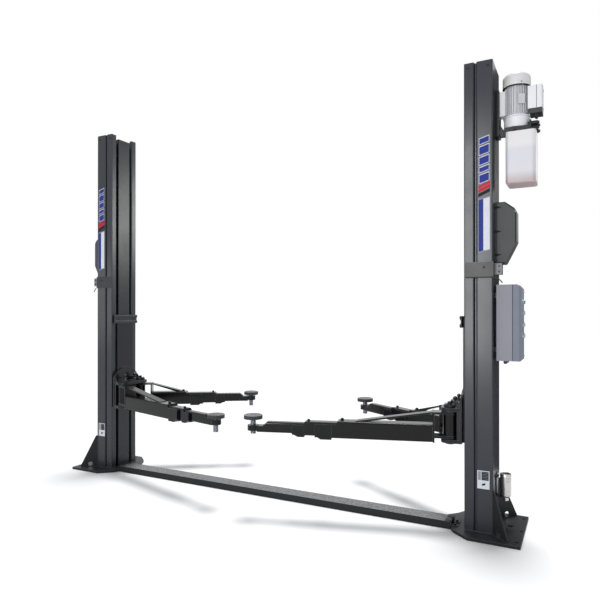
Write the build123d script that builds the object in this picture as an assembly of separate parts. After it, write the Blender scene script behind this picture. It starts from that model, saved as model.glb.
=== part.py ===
from build123d import *
from math import atan2, cos, degrees, pi, radians, sin
import os

# A two post car lift, in millimetres.
# X runs from the left post to the right post, -Y is the front and Z is up from the floor.
# Every right hand piece is drawn first and the left hand one is its mirror image.

# Posts
POST_HEIGHT = 2865.0       # floor to the open top
POST_INNER_X = 1462.0      # face towards the vehicle
POST_DEPTH_X = 169.0
POST_HALF_Y = 143.0
POST_WALL = 6.0
POST_BEND = 1.0            # inner radius of the folds
OPENING_HALF_Y = 90.0      # slot that the carriage runs in
LIP_RETURN = 24.0
GROOVE_X = 1529.0          # stiffening groove pressed into the front and back walls
GROOVE_HALF = 11.0
GROOVE_FLOOR_HALF = 6.0
GROOVE_DEPTH = 20.0
TOP_HOLE_DROP = 33.0       # holes in the front wall, below the top
POST_OUTER_X = POST_INNER_X + POST_DEPTH_X

# Cover strip that closes the middle of the opening
STRIP_HALF_Y = 63.0
STRIP_SHEET = 2.0
STRIP_SETBACK = 2.0
STRIP_FLANGE = 26.0
STRIP_TOP = POST_HEIGHT - 25.0

# Base plates, gussets and the cover over the floor run
BASE_PLATE = 18.0
BASE_OUTER_X = 1795.0
BASE_HALF_Y = 262.0
BASE_INNER_X = 1374.0
BASE_CORNER = 126.0        # bevelled inner corners
BASE_LUG = 70.0            # lug that reaches in behind the floor cover
ANCHOR_X = (1520.0, 1768.0)
ANCHOR_Y = 205.0
ANCHOR_HOLE = 20.0
MIDDLE_ANCHOR = (1776.0, -20.0)
BASE_PORT = (1707.0, 40.0)  # wide hole in the plate behind the post
BASE_PORT_RADIUS = 19.0
GUSSET_REACH = 134.0
GUSSET_TOP = 281.0
GUSSET_SHEET = 8.0
GUSSET_TOE = 14.0
GUSSET_HOLE = 36.0
FLOOR_COVER_FRONT = -135.0
FLOOR_COVER_WIDTH = 120.0
FLOOR_COVER_HEIGHT = 47.0
FLOOR_COVER_SHEET = 4.0

# Hoods over the safety latches and bands over the front corners of the posts
HOOD_Z = (POST_HEIGHT - 1225, POST_HEIGHT - 848)
HOOD_DEPTH = 125.0
HOOD_HALF_Y = 62.0
HOOD_SOFT = 9.0            # bevel round the hood's outer edges
HOOD_SHEET = 3.0
BAND_Z = (POST_HEIGHT - 1305, POST_HEIGHT - 1216)
BAND_SHEET = 4.0
BAND_LEG = 69.0
CLAMP_BLOCK = 46.0

# Carriages, drawn at the height in the rest pose
FACE_GAP = 6.0             # carriage plate to the face of the post
CARRIAGE_PLATE = 10.0
CARRIAGE_HALF_Y = 90.0
CARRIAGE_TOP = 1314.0
CARRIAGE_BOTTOM = 534.0
WEB = 12.0
WEB_MID_Y = 74.0
WING_GAP = 6.0
WING_HALF_Y = 130.0
SLIDE_BLOCK_Y = 100.0
WING_LENGTH = 200.0
DOME_PLATE = 10.0
DOME_HALF_Y = 140.0
DOME_TOP = 870.0
DOME_RADIUS = 163.0
BUMPER_Z = (1249.0, 1321.0)
BUMPER_HALF_Y = 130.0
BUMPER_THICK = 13.0

# Yoke that holds the two arm pivots of a carriage
PIVOT_X = 1367.0
PIVOT_Y = 100.0
YOKE_PLATE = 22.0
YOKE_TOP = 752.0
YOKE_RADIUS = 55.0
PIN_RADIUS = 20.0
PIN_CLEARANCE = 0.1
HEAD_GAP = 6.0
HEAD_PLATE = 14.0
HEAD_HALF = 45.0
BARREL_RADIUS = 42.0
BARREL_GAP = 2.0
GEAR_RADIUS = 37.0
GEAR_THICK = 14.0
GEAR_TEETH = 24

# Telescopic arms: stage two slides in stage one and stage three in stage two
ARM_FLOOR = 536.0
STAGE_HEIGHT = (110.0, 90.0, 70.0)
STAGE_WIDTH = (100.0, 80.0, 60.0)
STAGE_WALL = 8.0
TUBE_CORNER = 12.0         # outer radius of the arm tubes' long edges
RUNNING_GAP = 0.3          # between a stage, or the carriage, and what it rests and slides on
END_PLATE_AT = 96.0
END_PLATE = 10.0
STRUT_WIDTH = 60.0
STRUT_THICK = 9.0
COLLAR_PLATE = 8.0
COLLAR_LENGTH = (110.0, 82.0)
MOUTH_DROP = 20.0          # the top of a mouth is cut away this deep
MOUTH_CUT = (150.0, 85.0)
TIP_CUT = 100.0
BOSS_RADIUS = 38.0
BOSS_BOTTOM = 561.0
BOSS_TOP = 597.0

# Lifting pads
SCREW_RADIUS = 19.0
SCREW_LENGTH = 98.0
SCREW_CLEARANCE = 0.3
PAD_RADIUS = 62.5
PAD_THICK = 26.0
PAD_FLANGE = 4.0
PAD_FLANGE_RADIUS = 55.0

# Pull pins that lock the arms
LOCK_PIN_X = 1392.0
LOCK_PIN_Y = 58.0
LOCK_ROD = 6.0
LOCK_BALL = 12.5
GUIDE_Z = YOKE_TOP + 26
GUIDE_PLATE = 8.0
LOCK_BALL_Z = GUIDE_Z + 27

# name: side (1 right, -1 left), end (-1 front, 1 rear), swing from straight inwards,
# mouth of stage one, mouth of stage two, pad distance from the pivot, pad raise, strut end
ARMS = {
    "front_right": (1, -1, 16.8, 850.0, 1000.0, 1270.0, 40.0, 590.0),
    "front_left": (-1, -1, 15.5, 850.0, 976.0, 1233.0, 10.0, 590.0),
    "rear_right": (1, 1, 32.2, 550.0, 690.0, 979.0, 28.0, 375.0),
    "rear_left": (-1, 1, 32.4, 550.0, 740.0, 973.0, 11.0, 375.0),
}
STAGE_TWO_LENGTH = {"front": 660.0, "rear": 430.0}
STAGE_THREE_LENGTH = {"front": 600.0, "rear": 490.0}

# Power unit on the outer side of the right post, from its tank's bottom up
MOTOR_REACH = 121.0
TANK_DROP = 746.0          # from the post's top to the tank's bottom
TANK_HEIGHT = 311.0
TANK_LENGTH = 171.0
TANK_HALF_Y = 88.0
TANK_WALL = 5.0
TANK_CORNER = 22.0
TANK_BACK = 57.0           # tank's inner end to the motor's axis
VALVE_BLOCK_HEIGHT = 34.0
VALVE_BLOCK_BACK = 66.0    # either side of the motor's axis
VALVE_BLOCK_FRONT = 76.0
VALVE_PITCH = 34.0
BELL_HEIGHT = 67.0
BELL_RADIUS = 74.0
CASING_HEIGHT = 182.0
CASING_RADIUS = 62.0
FIN = 8.0
MOTOR_FINS = 28
FOOT_HALF_Y = 30.0         # foot by which the casing is bolted to the bracket
FOOT_INSET = 16.0
BRACKET_PLATE = 24.0
FAN_COVER_HEIGHT = 78.0
FAN_COVER_RADIUS = 81.0
FAN_COVER_SHEET = 4.0
FAN_COVER_ROUND = 26.0
TERMINAL_BOX_DEPTH = 81.0
TERMINAL_BOX_HALF_Y = 52.0
TERMINAL_BOX_TOP_DROP = 14.0     # below the casing's top
TERMINAL_BOX_FOOT = 32.0         # above the bell housing
GLAND_PLATE = 28.0
MOTOR_X = POST_OUTER_X + MOTOR_REACH
TANK_BOTTOM = POST_HEIGHT - TANK_DROP
TANK_TOP = TANK_BOTTOM + TANK_HEIGHT
VALVE_BLOCK_TOP = TANK_TOP + VALVE_BLOCK_HEIGHT
BELL_TOP = VALVE_BLOCK_TOP + BELL_HEIGHT
CASING_TOP = BELL_TOP + CASING_HEIGHT
FIN_RADIUS = CASING_RADIUS + FIN

# Control box
BOX_Z = (POST_HEIGHT - 1813, POST_HEIGHT - 1354)
BOX_HALF_Y = 105.0
BOX_SPACER = 15.0
BOX_BODY = 91.0
BOX_LID = 47.0
BOX_SHEET = 6.0
LID_BEVEL = 11.0           # along the lid's upright edges
LID_SLOPE = 22.0           # along its top
BUTTONS = ((103.0, 14.0), (171.0, 13.0), (241.0, 13.0), (309.0, 15.0))   # drop from the top, radius
BOX_SEAM_X = POST_OUTER_X + BOX_SPACER + BOX_BODY
BOX_FRONT_X = BOX_SEAM_X + BOX_LID

# Height adapter in its holder
SHELF_Z = 216.0
SHELF_REACH = 54.0           # from the post to the adapter's axis
SHELF_SHEET = 5.0
ADAPTER_RADIUS = 33.0
ADAPTER_HEIGHT = 137.0
SPIGOT_RADIUS = 17.0
SPIGOT_LENGTH = 29.0


def stage_floor(stage):
    """Height of the underside of an arm stage; each rests on the floor of the one round it."""
    return ARM_FLOOR + stage * (STAGE_WALL + RUNNING_GAP)


def block(x0, x1, y0, y1, z0, z1):
    """Box between two opposite corners."""
    return Pos((x0 + x1) / 2, (y0 + y1) / 2, (z0 + z1) / 2) * Box(x1 - x0, y1 - y0, z1 - z0)


def upright(x, y, z0, z1, radius):
    """Round bar standing on Z."""
    return Pos(x, y, (z0 + z1) / 2) * Cylinder(radius, z1 - z0)


def level_plate(points, z0, z1):
    """Flat plate with the outline given in X and Y."""
    return extrude(Pos(0, 0, z0) * make_face(Polyline(*points, close=True)), z1 - z0)


def side_plate(points, y0, y1):
    """Plate across Y with the outline given in X and Z."""
    plane = Plane(origin=(0, y1, 0), x_dir=(1, 0, 0), z_dir=(0, -1, 0))
    return extrude(plane * make_face(Polyline(*points, close=True)), y1 - y0)


def mirrored(shape):
    """The left hand twin of a right hand shape."""
    return mirror(shape, about=Plane.YZ)


def folded_section(points, wall, bend):
    """Section of folded sheet whose middle line runs through the points."""
    line = FilletPolyline(*points, radius=bend + wall / 2)
    return trace(line, line_width=wall)


def column():
    """C shaped post, open towards the vehicle, with a groove in its front and back."""
    half = POST_WALL / 2
    y = POST_HALF_Y - half
    x_in, x_out = POST_INNER_X + half, POST_OUTER_X - half
    y_lip = OPENING_HALF_Y + half
    front = [
        (POST_INNER_X + LIP_RETURN, y_lip), (x_in, y_lip), (x_in, y),
        (GROOVE_X - GROOVE_HALF, y), (GROOVE_X - GROOVE_FLOOR_HALF, y - GROOVE_DEPTH),
        (GROOVE_X + GROOVE_FLOOR_HALF, y - GROOVE_DEPTH), (GROOVE_X + GROOVE_HALF, y), (x_out, y),
    ]
    whole = front + [(x, -yy) for x, yy in reversed(front)]
    section = folded_section(whole, POST_WALL, POST_BEND)
    post = extrude(Pos(0, 0, BASE_PLATE) * section, POST_HEIGHT - BASE_PLATE)
    for x in (POST_INNER_X + 23, POST_OUTER_X - 28):
        hole = Pos(x, half - POST_HALF_Y, POST_HEIGHT - TOP_HOLE_DROP) * Rot(90, 0, 0)
        post -= hole * Cylinder(5, 3 * POST_WALL)
    return post


def cover_strip():
    """Shallow channel between the slots, held at the top by two tabs."""
    x0 = POST_INNER_X + STRIP_SETBACK
    strip = block(x0, x0 + STRIP_FLANGE, -STRIP_HALF_Y, STRIP_HALF_Y, BASE_PLATE, STRIP_TOP)
    strip -= block(x0 + STRIP_SHEET, x0 + STRIP_FLANGE + 1, STRIP_SHEET - STRIP_HALF_Y,
                   STRIP_HALF_Y - STRIP_SHEET, BASE_PLATE - 1, STRIP_TOP + 1)
    for side in (-1, 1):
        y0, y1 = sorted((side * STRIP_HALF_Y, side * OPENING_HALF_Y))
        strip += block(x0 + 8, x0 + 16, y0, y1, STRIP_TOP - 40, STRIP_TOP - 10)
    return strip


def base_plate():
    """Floor plate of a post, with lugs towards the floor cover and anchor holes."""
    y, x_in = BASE_HALF_Y, BASE_INNER_X
    cover_rear = FLOOR_COVER_FRONT + FLOOR_COVER_WIDTH
    x_corner, x_lug, y_lug = x_in + BASE_CORNER, x_in - BASE_LUG, BASE_HALF_Y - BASE_CORNER + 44
    outline = [
        (BASE_OUTER_X, -y), (x_corner, -y), (x_in + 28, -y_lug), (x_in, FLOOR_COVER_FRONT + 5),
        (x_in, cover_rear + 7), (x_lug, cover_rear + 27), (x_lug, cover_rear + 71),
        (x_in, 130), (x_in + 28, y_lug), (x_corner, y), (BASE_OUTER_X, y),
    ]
    plate = level_plate(outline, 0, BASE_PLATE)
    for x in ANCHOR_X:
        for yy in (-ANCHOR_Y, ANCHOR_Y):
            plate -= upright(x, yy, -1, BASE_PLATE + 1, ANCHOR_HOLE / 2)
    plate -= upright(*MIDDLE_ANCHOR, -1, BASE_PLATE + 1, ANCHOR_HOLE / 2)
    return plate - upright(*BASE_PORT, -1, BASE_PLATE + 1, BASE_PORT_RADIUS)


def gusset(end):
    """Splayed triangular plate from the post's outer corner to the base plate."""
    radius = POST_BEND + POST_WALL
    start = radius * (1 - cos(pi / 4))
    low, high = BASE_PLATE, GUSSET_TOP
    outline = [(0, low), (GUSSET_REACH, low), (GUSSET_REACH, low + GUSSET_TOE), (12, high), (0, high)]
    plate = side_plate(outline, -GUSSET_SHEET / 2, GUSSET_SHEET / 2)
    hole = Pos(GUSSET_REACH * 0.42, 0, low + 24) * Rot(90, 0, 0)
    plate -= hole * Cylinder(GUSSET_HOLE / 2, 2 * GUSSET_SHEET)
    place = Pos(POST_OUTER_X - start, end * (POST_HALF_Y - start), 0) * Rot(0, 0, end * 45)
    return place * plate


def floor_cover():
    """Inverted channel over the hoses and ropes between the posts."""
    x, y0 = BASE_INNER_X, FLOOR_COVER_FRONT
    y1, t = y0 + FLOOR_COVER_WIDTH, FLOOR_COVER_SHEET
    cover = block(-x, x, y0, y1, 0, FLOOR_COVER_HEIGHT)
    return cover - block(-x - 1, x + 1, y0 + t, y1 - t, -1, FLOOR_COVER_HEIGHT - t)


def lock_cover():
    """Plastic hood over the safety latch, open towards the post."""
    x, (z0, z1) = POST_OUTER_X, HOOD_Z

    def hood(inset, x_start):
        reach = x + HOOD_DEPTH - inset
        outline = [(x_start, z0 + inset), (x + 58 - inset, z0 + inset), (reach, z0 + 133),
                   (reach, z1 - 66), (reach - 12, z1 - 42 - inset / 2), (x + 59, z1 - inset),
                   (x_start, z1 - inset)]
        solid = side_plate(outline, inset - HOOD_HALF_Y, HOOD_HALF_Y - inset)
        rim = solid.edges().filter_by(lambda e: e.center().X > x + 10 and e.length < 2 * HOOD_HALF_Y - 20
                                      or e.center().X > x + HOOD_DEPTH - inset - 1)
        return solid if inset else chamfer(rim.filter_by(Axis.Y, reverse=True), HOOD_SOFT)
    return hood(0, x) - hood(HOOD_SHEET, x - 1)


def accessory_band():
    """Steel angle over the post's front corner with a clamp block on its outer leg."""
    (z0, z1), t = BAND_Z, BAND_SHEET
    x0, x1, y = POST_INNER_X + 6, POST_OUTER_X + t, POST_HALF_Y + t
    y_end = BAND_LEG - y
    band = block(x0, x1, -y, y_end, z0, z1)
    band -= block(x0 - 1, POST_OUTER_X, -POST_HALF_Y, y_end + 1, z0 - 1, z1 + 1)
    return band + block(x1, x1 + CLAMP_BLOCK, 19 - y, y_end - 6, z0 + 10, z1 - 10)


def dome_outline():
    """Arched back plate of the yoke, outline in Y and Z."""
    shoulder = DOME_TOP - DOME_RADIUS + (DOME_RADIUS ** 2 - DOME_HALF_Y ** 2) ** 0.5
    foot = Polyline((-DOME_HALF_Y, shoulder), (-DOME_HALF_Y, CARRIAGE_BOTTOM),
                    (DOME_HALF_Y, CARRIAGE_BOTTOM), (DOME_HALF_Y, shoulder))
    arch = ThreePointArc((-DOME_HALF_Y, shoulder), (0, DOME_TOP), (DOME_HALF_Y, shoulder))
    return make_face([foot, arch])


def yoke_plate(z0, x_back):
    """Horizontal yoke plate, rounded about both pivots."""
    r, y = YOKE_RADIUS, PIVOT_Y
    plate = level_plate([(PIVOT_X - r, -y), (PIVOT_X - r, y), (PIVOT_X, y + r),
                         (x_back, DOME_HALF_Y), (x_back, -DOME_HALF_Y), (PIVOT_X, -y - r)],
                        z0, z0 + YOKE_PLATE)
    for side in (-1, 1):
        plate += upright(PIVOT_X, side * y, z0, z0 + YOKE_PLATE, r)
    for side in (-1, 1):
        plate -= upright(PIVOT_X, side * y, z0 - 1, z0 + YOKE_PLATE + 1, PIN_RADIUS + PIN_CLEARANCE)
    return plate


def carriage():
    """Sliding carriage: face plate, webs and wings in the post, and the arm yoke."""
    x_plate = POST_INNER_X - FACE_GAP - CARRIAGE_PLATE
    x_dome = x_plate - DOME_PLATE
    x_wing = POST_INNER_X + LIP_RETURN + WING_GAP
    low, top = CARRIAGE_BOTTOM, CARRIAGE_TOP
    body = block(x_plate, x_plate + CARRIAGE_PLATE, -CARRIAGE_HALF_Y, CARRIAGE_HALF_Y, low, top)
    body += extrude(Plane.YZ.offset(x_dome) * dome_outline(), DOME_PLATE)
    for side in (-1, 1):
        y0, y1 = sorted((side * (WEB_MID_Y - WEB / 2), side * (WEB_MID_Y + WEB / 2)))
        body += block(x_plate + CARRIAGE_PLATE, x_wing + WEB, y0, y1, low + 36, top - 10)
        y0, y1 = sorted((side * (WEB_MID_Y - WEB / 2), side * WING_HALF_Y))
        for z0 in (low + 36, top - 10 - WING_LENGTH):
            body += block(x_wing, x_wing + WEB, y0, y1, z0, z0 + WING_LENGTH)
            runner = sorted((side * SLIDE_BLOCK_Y, side * WING_HALF_Y))
            body += block(POST_INNER_X + POST_WALL + RUNNING_GAP, x_wing, *runner,
                          z0 + 10, z0 + WING_LENGTH - 10)
        y0, y1 = sorted((side * (DOME_HALF_Y - 8), side * DOME_HALF_Y))
        body += side_plate([(x_dome, YOKE_TOP), (x_dome, YOKE_TOP + 45), (x_dome - 32, YOKE_TOP)], y0, y1)
        body += block(x_dome - 18, x_dome, y0, y1, low + YOKE_PLATE, YOKE_TOP - YOKE_PLATE)
        y0, y1 = sorted((side * (LOCK_PIN_Y - 13), side * (LOCK_PIN_Y + 13)))
        body += block(LOCK_PIN_X - 14, x_dome, y0, y1, GUIDE_Z, GUIDE_Z + GUIDE_PLATE)
    body += yoke_plate(low, x_dome) + yoke_plate(YOKE_TOP - YOKE_PLATE, x_dome)
    body += block(PIVOT_X - 40, x_dome, -5, 5, low + YOKE_PLATE, YOKE_TOP - YOKE_PLATE)
    for side in (-1, 1):
        body -= upright(LOCK_PIN_X, side * LOCK_PIN_Y, YOKE_TOP - YOKE_PLATE - 1,
                        GUIDE_Z + 2 * GUIDE_PLATE, LOCK_ROD + PIN_CLEARANCE)
    return body


def bumper():
    """Rubber door bumper with a waist between two rolls."""
    x1 = POST_INNER_X - FACE_GAP - CARRIAGE_PLATE
    x0, (z0, z1) = x1 - BUMPER_THICK, BUMPER_Z
    outline = [(x1, z0), (x0 + 3, z0), (x0, z0 + 4), (x0, z0 + 18), (x0 + 7, z0 + 27),
               (x0 + 7, z1 - 27), (x0, z1 - 18), (x0, z1 - 4), (x0 + 3, z1), (x1, z1)]
    return side_plate(outline, -BUMPER_HALF_Y, BUMPER_HALF_Y)


def toothed_disc(radius, teeth, z0, z1):
    """Disc with straight teeth round its rim."""
    step = 2 * pi / teeth
    points = []
    for i in range(teeth):
        for part, r in ((0.0, radius - 5), (0.3, radius - 5), (0.42, radius), (0.88, radius)):
            a = (i + part) * step
            points.append((r * cos(a), r * sin(a)))
    return level_plate(points, z0, z1)


def strut(end, width, z_top, z_end):
    """Sloping flat brace from the end plate down to the top of stage one."""
    x0, t = END_PLATE_AT, STRUT_THICK
    outline = [(x0, z_top), (end - 12, z_end + t * 0.6), (end, z_end), (end - 60, z_end), (x0, z_top - t)]
    return side_plate(outline, -width / 2, width / 2)


def collar(mouth, stage, drop):
    """U shaped reinforcing band round the sides and bottom of a tube's mouth."""
    t, half, floor = COLLAR_PLATE, STAGE_WIDTH[stage] / 2, stage_floor(stage)
    length, height = COLLAR_LENGTH[stage], STAGE_HEIGHT[stage] - MOUTH_DROP - 2
    outline = [(mouth - length, floor - t), (mouth - 38, floor - t), (mouth, floor + drop),
               (mouth, floor + height - 12), (mouth - 12, floor + height),
               (mouth - length, floor + height)]
    band = side_plate(outline, -half - t, half + t)
    return band - block(mouth - length - 1, mouth + 1, -half, half, floor, floor + height + 1)


def square_tube(start, mouth, stage):
    """One stage of an arm as an open tube along X with rounded long edges."""
    half, floor = STAGE_WIDTH[stage] / 2, stage_floor(stage)

    def bar(x0, x1, inset):
        core = block(x0, x1, inset - half, half - inset, floor + inset,
                     floor + STAGE_HEIGHT[stage] - inset)
        return fillet(core.edges().filter_by(Axis.X), TUBE_CORNER - inset)
    return bar(start, mouth, 0) - bar(start - 1, mouth + 1, STAGE_WALL)


def mouth_opening(mouth, cut, stage):
    """Space taken out of the top of a tube next to its mouth."""
    half, top = STAGE_WIDTH[stage] / 2 + COLLAR_PLATE + 1, stage_floor(stage) + STAGE_HEIGHT[stage]
    low = top - MOUTH_DROP
    outline = [(mouth - cut, top + 1), (mouth - cut + 14, low), (mouth + 1, low), (mouth + 1, top + 1)]
    return side_plate(outline, -half, half)


def arm_outer(mouth, strut_end):
    """Stage one with its head, pivot pin and toothed lock disc, pivot at the origin."""
    low, high = CARRIAGE_BOTTOM, YOKE_TOP
    inner_low, inner_high = low + YOKE_PLATE, high - YOKE_PLATE
    top_plate = inner_high - HEAD_GAP
    arm = square_tube(END_PLATE_AT + END_PLATE, mouth, 0) - mouth_opening(mouth, MOUTH_CUT[0], 0)
    half = STAGE_WIDTH[0] / 2
    arm += block(END_PLATE_AT, END_PLATE_AT + END_PLATE, -half, half, low, top_plate)
    for z0 in (inner_low + HEAD_GAP, top_plate - HEAD_PLATE):
        arm += block(0, END_PLATE_AT, -HEAD_HALF, HEAD_HALF, z0, z0 + HEAD_PLATE)
        arm += upright(0, 0, z0, z0 + HEAD_PLATE, HEAD_HALF)
    arm += upright(0, 0, inner_low + BARREL_GAP, inner_high - BARREL_GAP, BARREL_RADIUS)
    arm += upright(0, 0, low - 10, high + BARREL_GAP, PIN_RADIUS)
    arm += upright(0, 0, low - 10, low - BARREL_GAP, PIN_RADIUS + 8)
    arm += toothed_disc(GEAR_RADIUS, GEAR_TEETH, high + BARREL_GAP, high + BARREL_GAP + GEAR_THICK)
    tube_top = ARM_FLOOR + STAGE_HEIGHT[0]
    arm += strut(strut_end, STRUT_WIDTH, top_plate, tube_top)
    arm += collar(mouth, 0, 18)
    return arm


def arm_middle(mouth, length):
    """Stage two, a shorter tube with its own mouth collar."""
    tube = square_tube(mouth - length, mouth, 1) - mouth_opening(mouth, MOUTH_CUT[1], 1)
    return tube + collar(mouth, 1, 12)


def arm_inner(pad_at, length):
    """Stage three, cut to a slope at its tip and ending in the pad's threaded boss."""
    height = STAGE_HEIGHT[2]
    floor = stage_floor(2)
    tube = square_tube(pad_at - length, pad_at - 30, 2)
    slope = [(pad_at - TIP_CUT, floor + height + 1), (pad_at - TIP_CUT + 30, BOSS_TOP - 2),
             (pad_at + 1, BOSS_TOP - 2), (pad_at + 1, floor + height + 1)]
    tube -= side_plate(slope, -STAGE_WIDTH[2], STAGE_WIDTH[2])
    tube += block(pad_at - TIP_CUT + 20, pad_at, -22, 22, floor + STAGE_WALL - 1, BOSS_TOP - 2)
    tube += upright(pad_at, 0, BOSS_BOTTOM, BOSS_TOP, BOSS_RADIUS)
    return tube - upright(pad_at, 0, floor - 1, BOSS_TOP + 1, SCREW_RADIUS + SCREW_CLEARANCE)


def pad_screw(pad_at, raised):
    """Screw with the steel disc that carries the rubber."""
    z = BOSS_TOP + raised
    screw = upright(pad_at, 0, z - SCREW_LENGTH, z + 1, SCREW_RADIUS)
    return screw + upright(pad_at, 0, z, z + PAD_FLANGE, PAD_FLANGE_RADIUS)


def pad_rubber(pad_at, raised):
    """Round rubber pad that sits over the steel disc."""
    z = BOSS_TOP + raised
    pad = fillet(upright(pad_at, 0, z, z + PAD_THICK, PAD_RADIUS).edges().sort_by(Axis.Z)[-1], 4)
    for r in (20.0, 42.0):
        ring = upright(pad_at, 0, z + PAD_THICK - 1.5, z + PAD_THICK + 1, r + 2.5)
        pad -= ring - upright(pad_at, 0, z, z + PAD_THICK + 2, r - 2.5)
    return pad - upright(pad_at, 0, z - 1, z + PAD_FLANGE, PAD_FLANGE_RADIUS)


def lock_pin(end):
    """Pull pin with a ball knob and a collar above its guide."""
    x, y = LOCK_PIN_X, end * LOCK_PIN_Y
    pin = upright(x, y, YOKE_TOP - YOKE_PLATE + 2, LOCK_BALL_Z, LOCK_ROD)
    pin += Pos(x, y, LOCK_BALL_Z) * Sphere(LOCK_BALL)
    stop = GUIDE_Z + GUIDE_PLATE + 0.3
    return pin + upright(x, y, stop, stop + 6, LOCK_ROD + 3)


def motor_body():
    """Finned motor casing standing on its bell housing."""
    z0, z1 = BELL_TOP, CASING_TOP
    body = upright(MOTOR_X, 0, z0, z1, CASING_RADIUS)
    for i in range(MOTOR_FINS):
        fin = block(CASING_RADIUS - 4, FIN_RADIUS, -1.5, 1.5, z0 + 14, z1 - 8)
        body += Pos(MOTOR_X, 0, 0) * Rot(0, 0, i * 360 / MOTOR_FINS) * fin
    body += upright(MOTOR_X, 0, VALVE_BLOCK_TOP, z0 - 4, BELL_RADIUS)
    body += block(POST_OUTER_X + BRACKET_PLATE, MOTOR_X - CASING_RADIUS + 4, -FOOT_HALF_Y, FOOT_HALF_Y,
                  z0 + FOOT_INSET, z1 - FOOT_INSET)
    return body + upright(MOTOR_X, 0, z0 - 4, z0 + 2, BELL_RADIUS + 4)


def fan_cover():
    """Sheet cowl over the motor's fan with slots in its top."""
    z0, r, t = CASING_TOP, FAN_COVER_RADIUS, FAN_COVER_SHEET
    z1 = z0 + FAN_COVER_HEIGHT
    cowl = fillet(upright(MOTOR_X, 0, z0, z1, r).edges().sort_by(Axis.Z)[-1], FAN_COVER_ROUND)
    core = upright(MOTOR_X, 0, z0 - 1, z1 - t, r - t)
    cowl -= fillet(core.edges().sort_by(Axis.Z)[-1], FAN_COVER_ROUND - t)
    cowl += upright(MOTOR_X, 0, z0, z0 + t, r - t + 0.5) - upright(MOTOR_X, 0, z0 - 1, z0 + t + 1, r - 28)
    for share in (0.2, 0.36, 0.52):
        slot = upright(MOTOR_X, 0, z1 - 2 * t, z1 + 1, share * r + 3)
        slot -= upright(MOTOR_X, 0, z1 - 3 * t, z1 + 2, share * r - 3)
        for a in (45, 135):
            slot -= Pos(MOTOR_X, 0, z1) * Rot(0, 0, a) * Box(2 * r, 8, 40)
        cowl -= slot
    return cowl


def terminal_box():
    """Wiring box on the side of the motor with a gland plate below."""
    x0, x1 = MOTOR_X + FIN_RADIUS - 3, MOTOR_X + FIN_RADIUS - 3 + TERMINAL_BOX_DEPTH
    y, z0 = TERMINAL_BOX_HALF_Y, BELL_TOP + TERMINAL_BOX_FOOT
    body = block(x0, x1, -y, y, z0, CASING_TOP - TERMINAL_BOX_TOP_DROP)
    body = fillet(body.edges().filter_by(Axis.Z).sort_by(Axis.X)[-2:], 10)
    body -= upright(MOTOR_X, 0, z0 - 1, CASING_TOP, FIN_RADIUS + 0.2)
    return body + block(x0 + 9, x1 - 2, 3 - y, y - 3, z0 - GLAND_PLATE, z0)


def pump_block():
    """Valve block between the motor and the tank, with its valves and ports."""
    x0, x1, mid = MOTOR_X - VALVE_BLOCK_BACK, MOTOR_X + VALVE_BLOCK_FRONT, (TANK_TOP + VALVE_BLOCK_TOP) / 2
    body = block(x0, x1, -64, 64, TANK_TOP, VALVE_BLOCK_TOP)
    body += block(x1, x1 + 10, -58, 58, TANK_TOP, VALVE_BLOCK_TOP + 32)
    for y, z in ((-40.0, mid), (36.0, mid), (-30.0, mid + VALVE_PITCH), (30.0, mid + VALVE_PITCH)):
        body += Pos(x1 + 28, y, z) * Rot(0, 90, 0) * Cylinder(12, 36)
        body += Pos(x1 + 50, y, z) * Rot(0, 90, 0) * Cylinder(8, 8)
    return body + Pos(MOTOR_X - 15, -74, mid) * Rot(90, 0, 0) * Cylinder(11, 20)


def oil_tank():
    """Moulded tank hanging below the valve block."""
    x0, x1 = MOTOR_X - TANK_BACK, MOTOR_X - TANK_BACK + TANK_LENGTH
    z0, z1, y, t = TANK_BOTTOM, TANK_TOP, TANK_HALF_Y, TANK_WALL
    body = fillet(block(x0, x1, -y, y, z0, z1).edges().filter_by(Axis.Z), TANK_CORNER)
    body = fillet(body.faces().sort_by(Axis.Z)[0].edges(), 10)
    pocket = block(x0 + t, x1 - t, t - y, y - t, z0 + 2 * t, z1 - t)
    return body - fillet(pocket.edges().filter_by(Axis.Z), TANK_CORNER - t)


def unit_bracket():
    """Channel and arm that carry the power unit on the post."""
    x, x1 = POST_OUTER_X, MOTOR_X - VALVE_BLOCK_BACK
    channel = block(x, x + BRACKET_PLATE, -52, 52, TANK_TOP - 6, CASING_TOP - 8)
    channel -= block(x + 6, x + BRACKET_PLATE + 1, -46, -FOOT_HALF_Y - 4, TANK_TOP, CASING_TOP - 14)
    channel -= block(x + 6, x + BRACKET_PLATE + 1, FOOT_HALF_Y + 4, 46, TANK_TOP, CASING_TOP - 14)
    channel += block(x + BRACKET_PLATE, x1, -42, 42, TANK_TOP + 4, VALVE_BLOCK_TOP - 4)
    top = VALVE_BLOCK_TOP - 4
    for y in (-28.0, 20.0):
        channel += side_plate([(x + BRACKET_PLATE, top), (x1 - 6, top), (x + BRACKET_PLATE, top + 44)], y, y + 8)
    return channel


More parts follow.
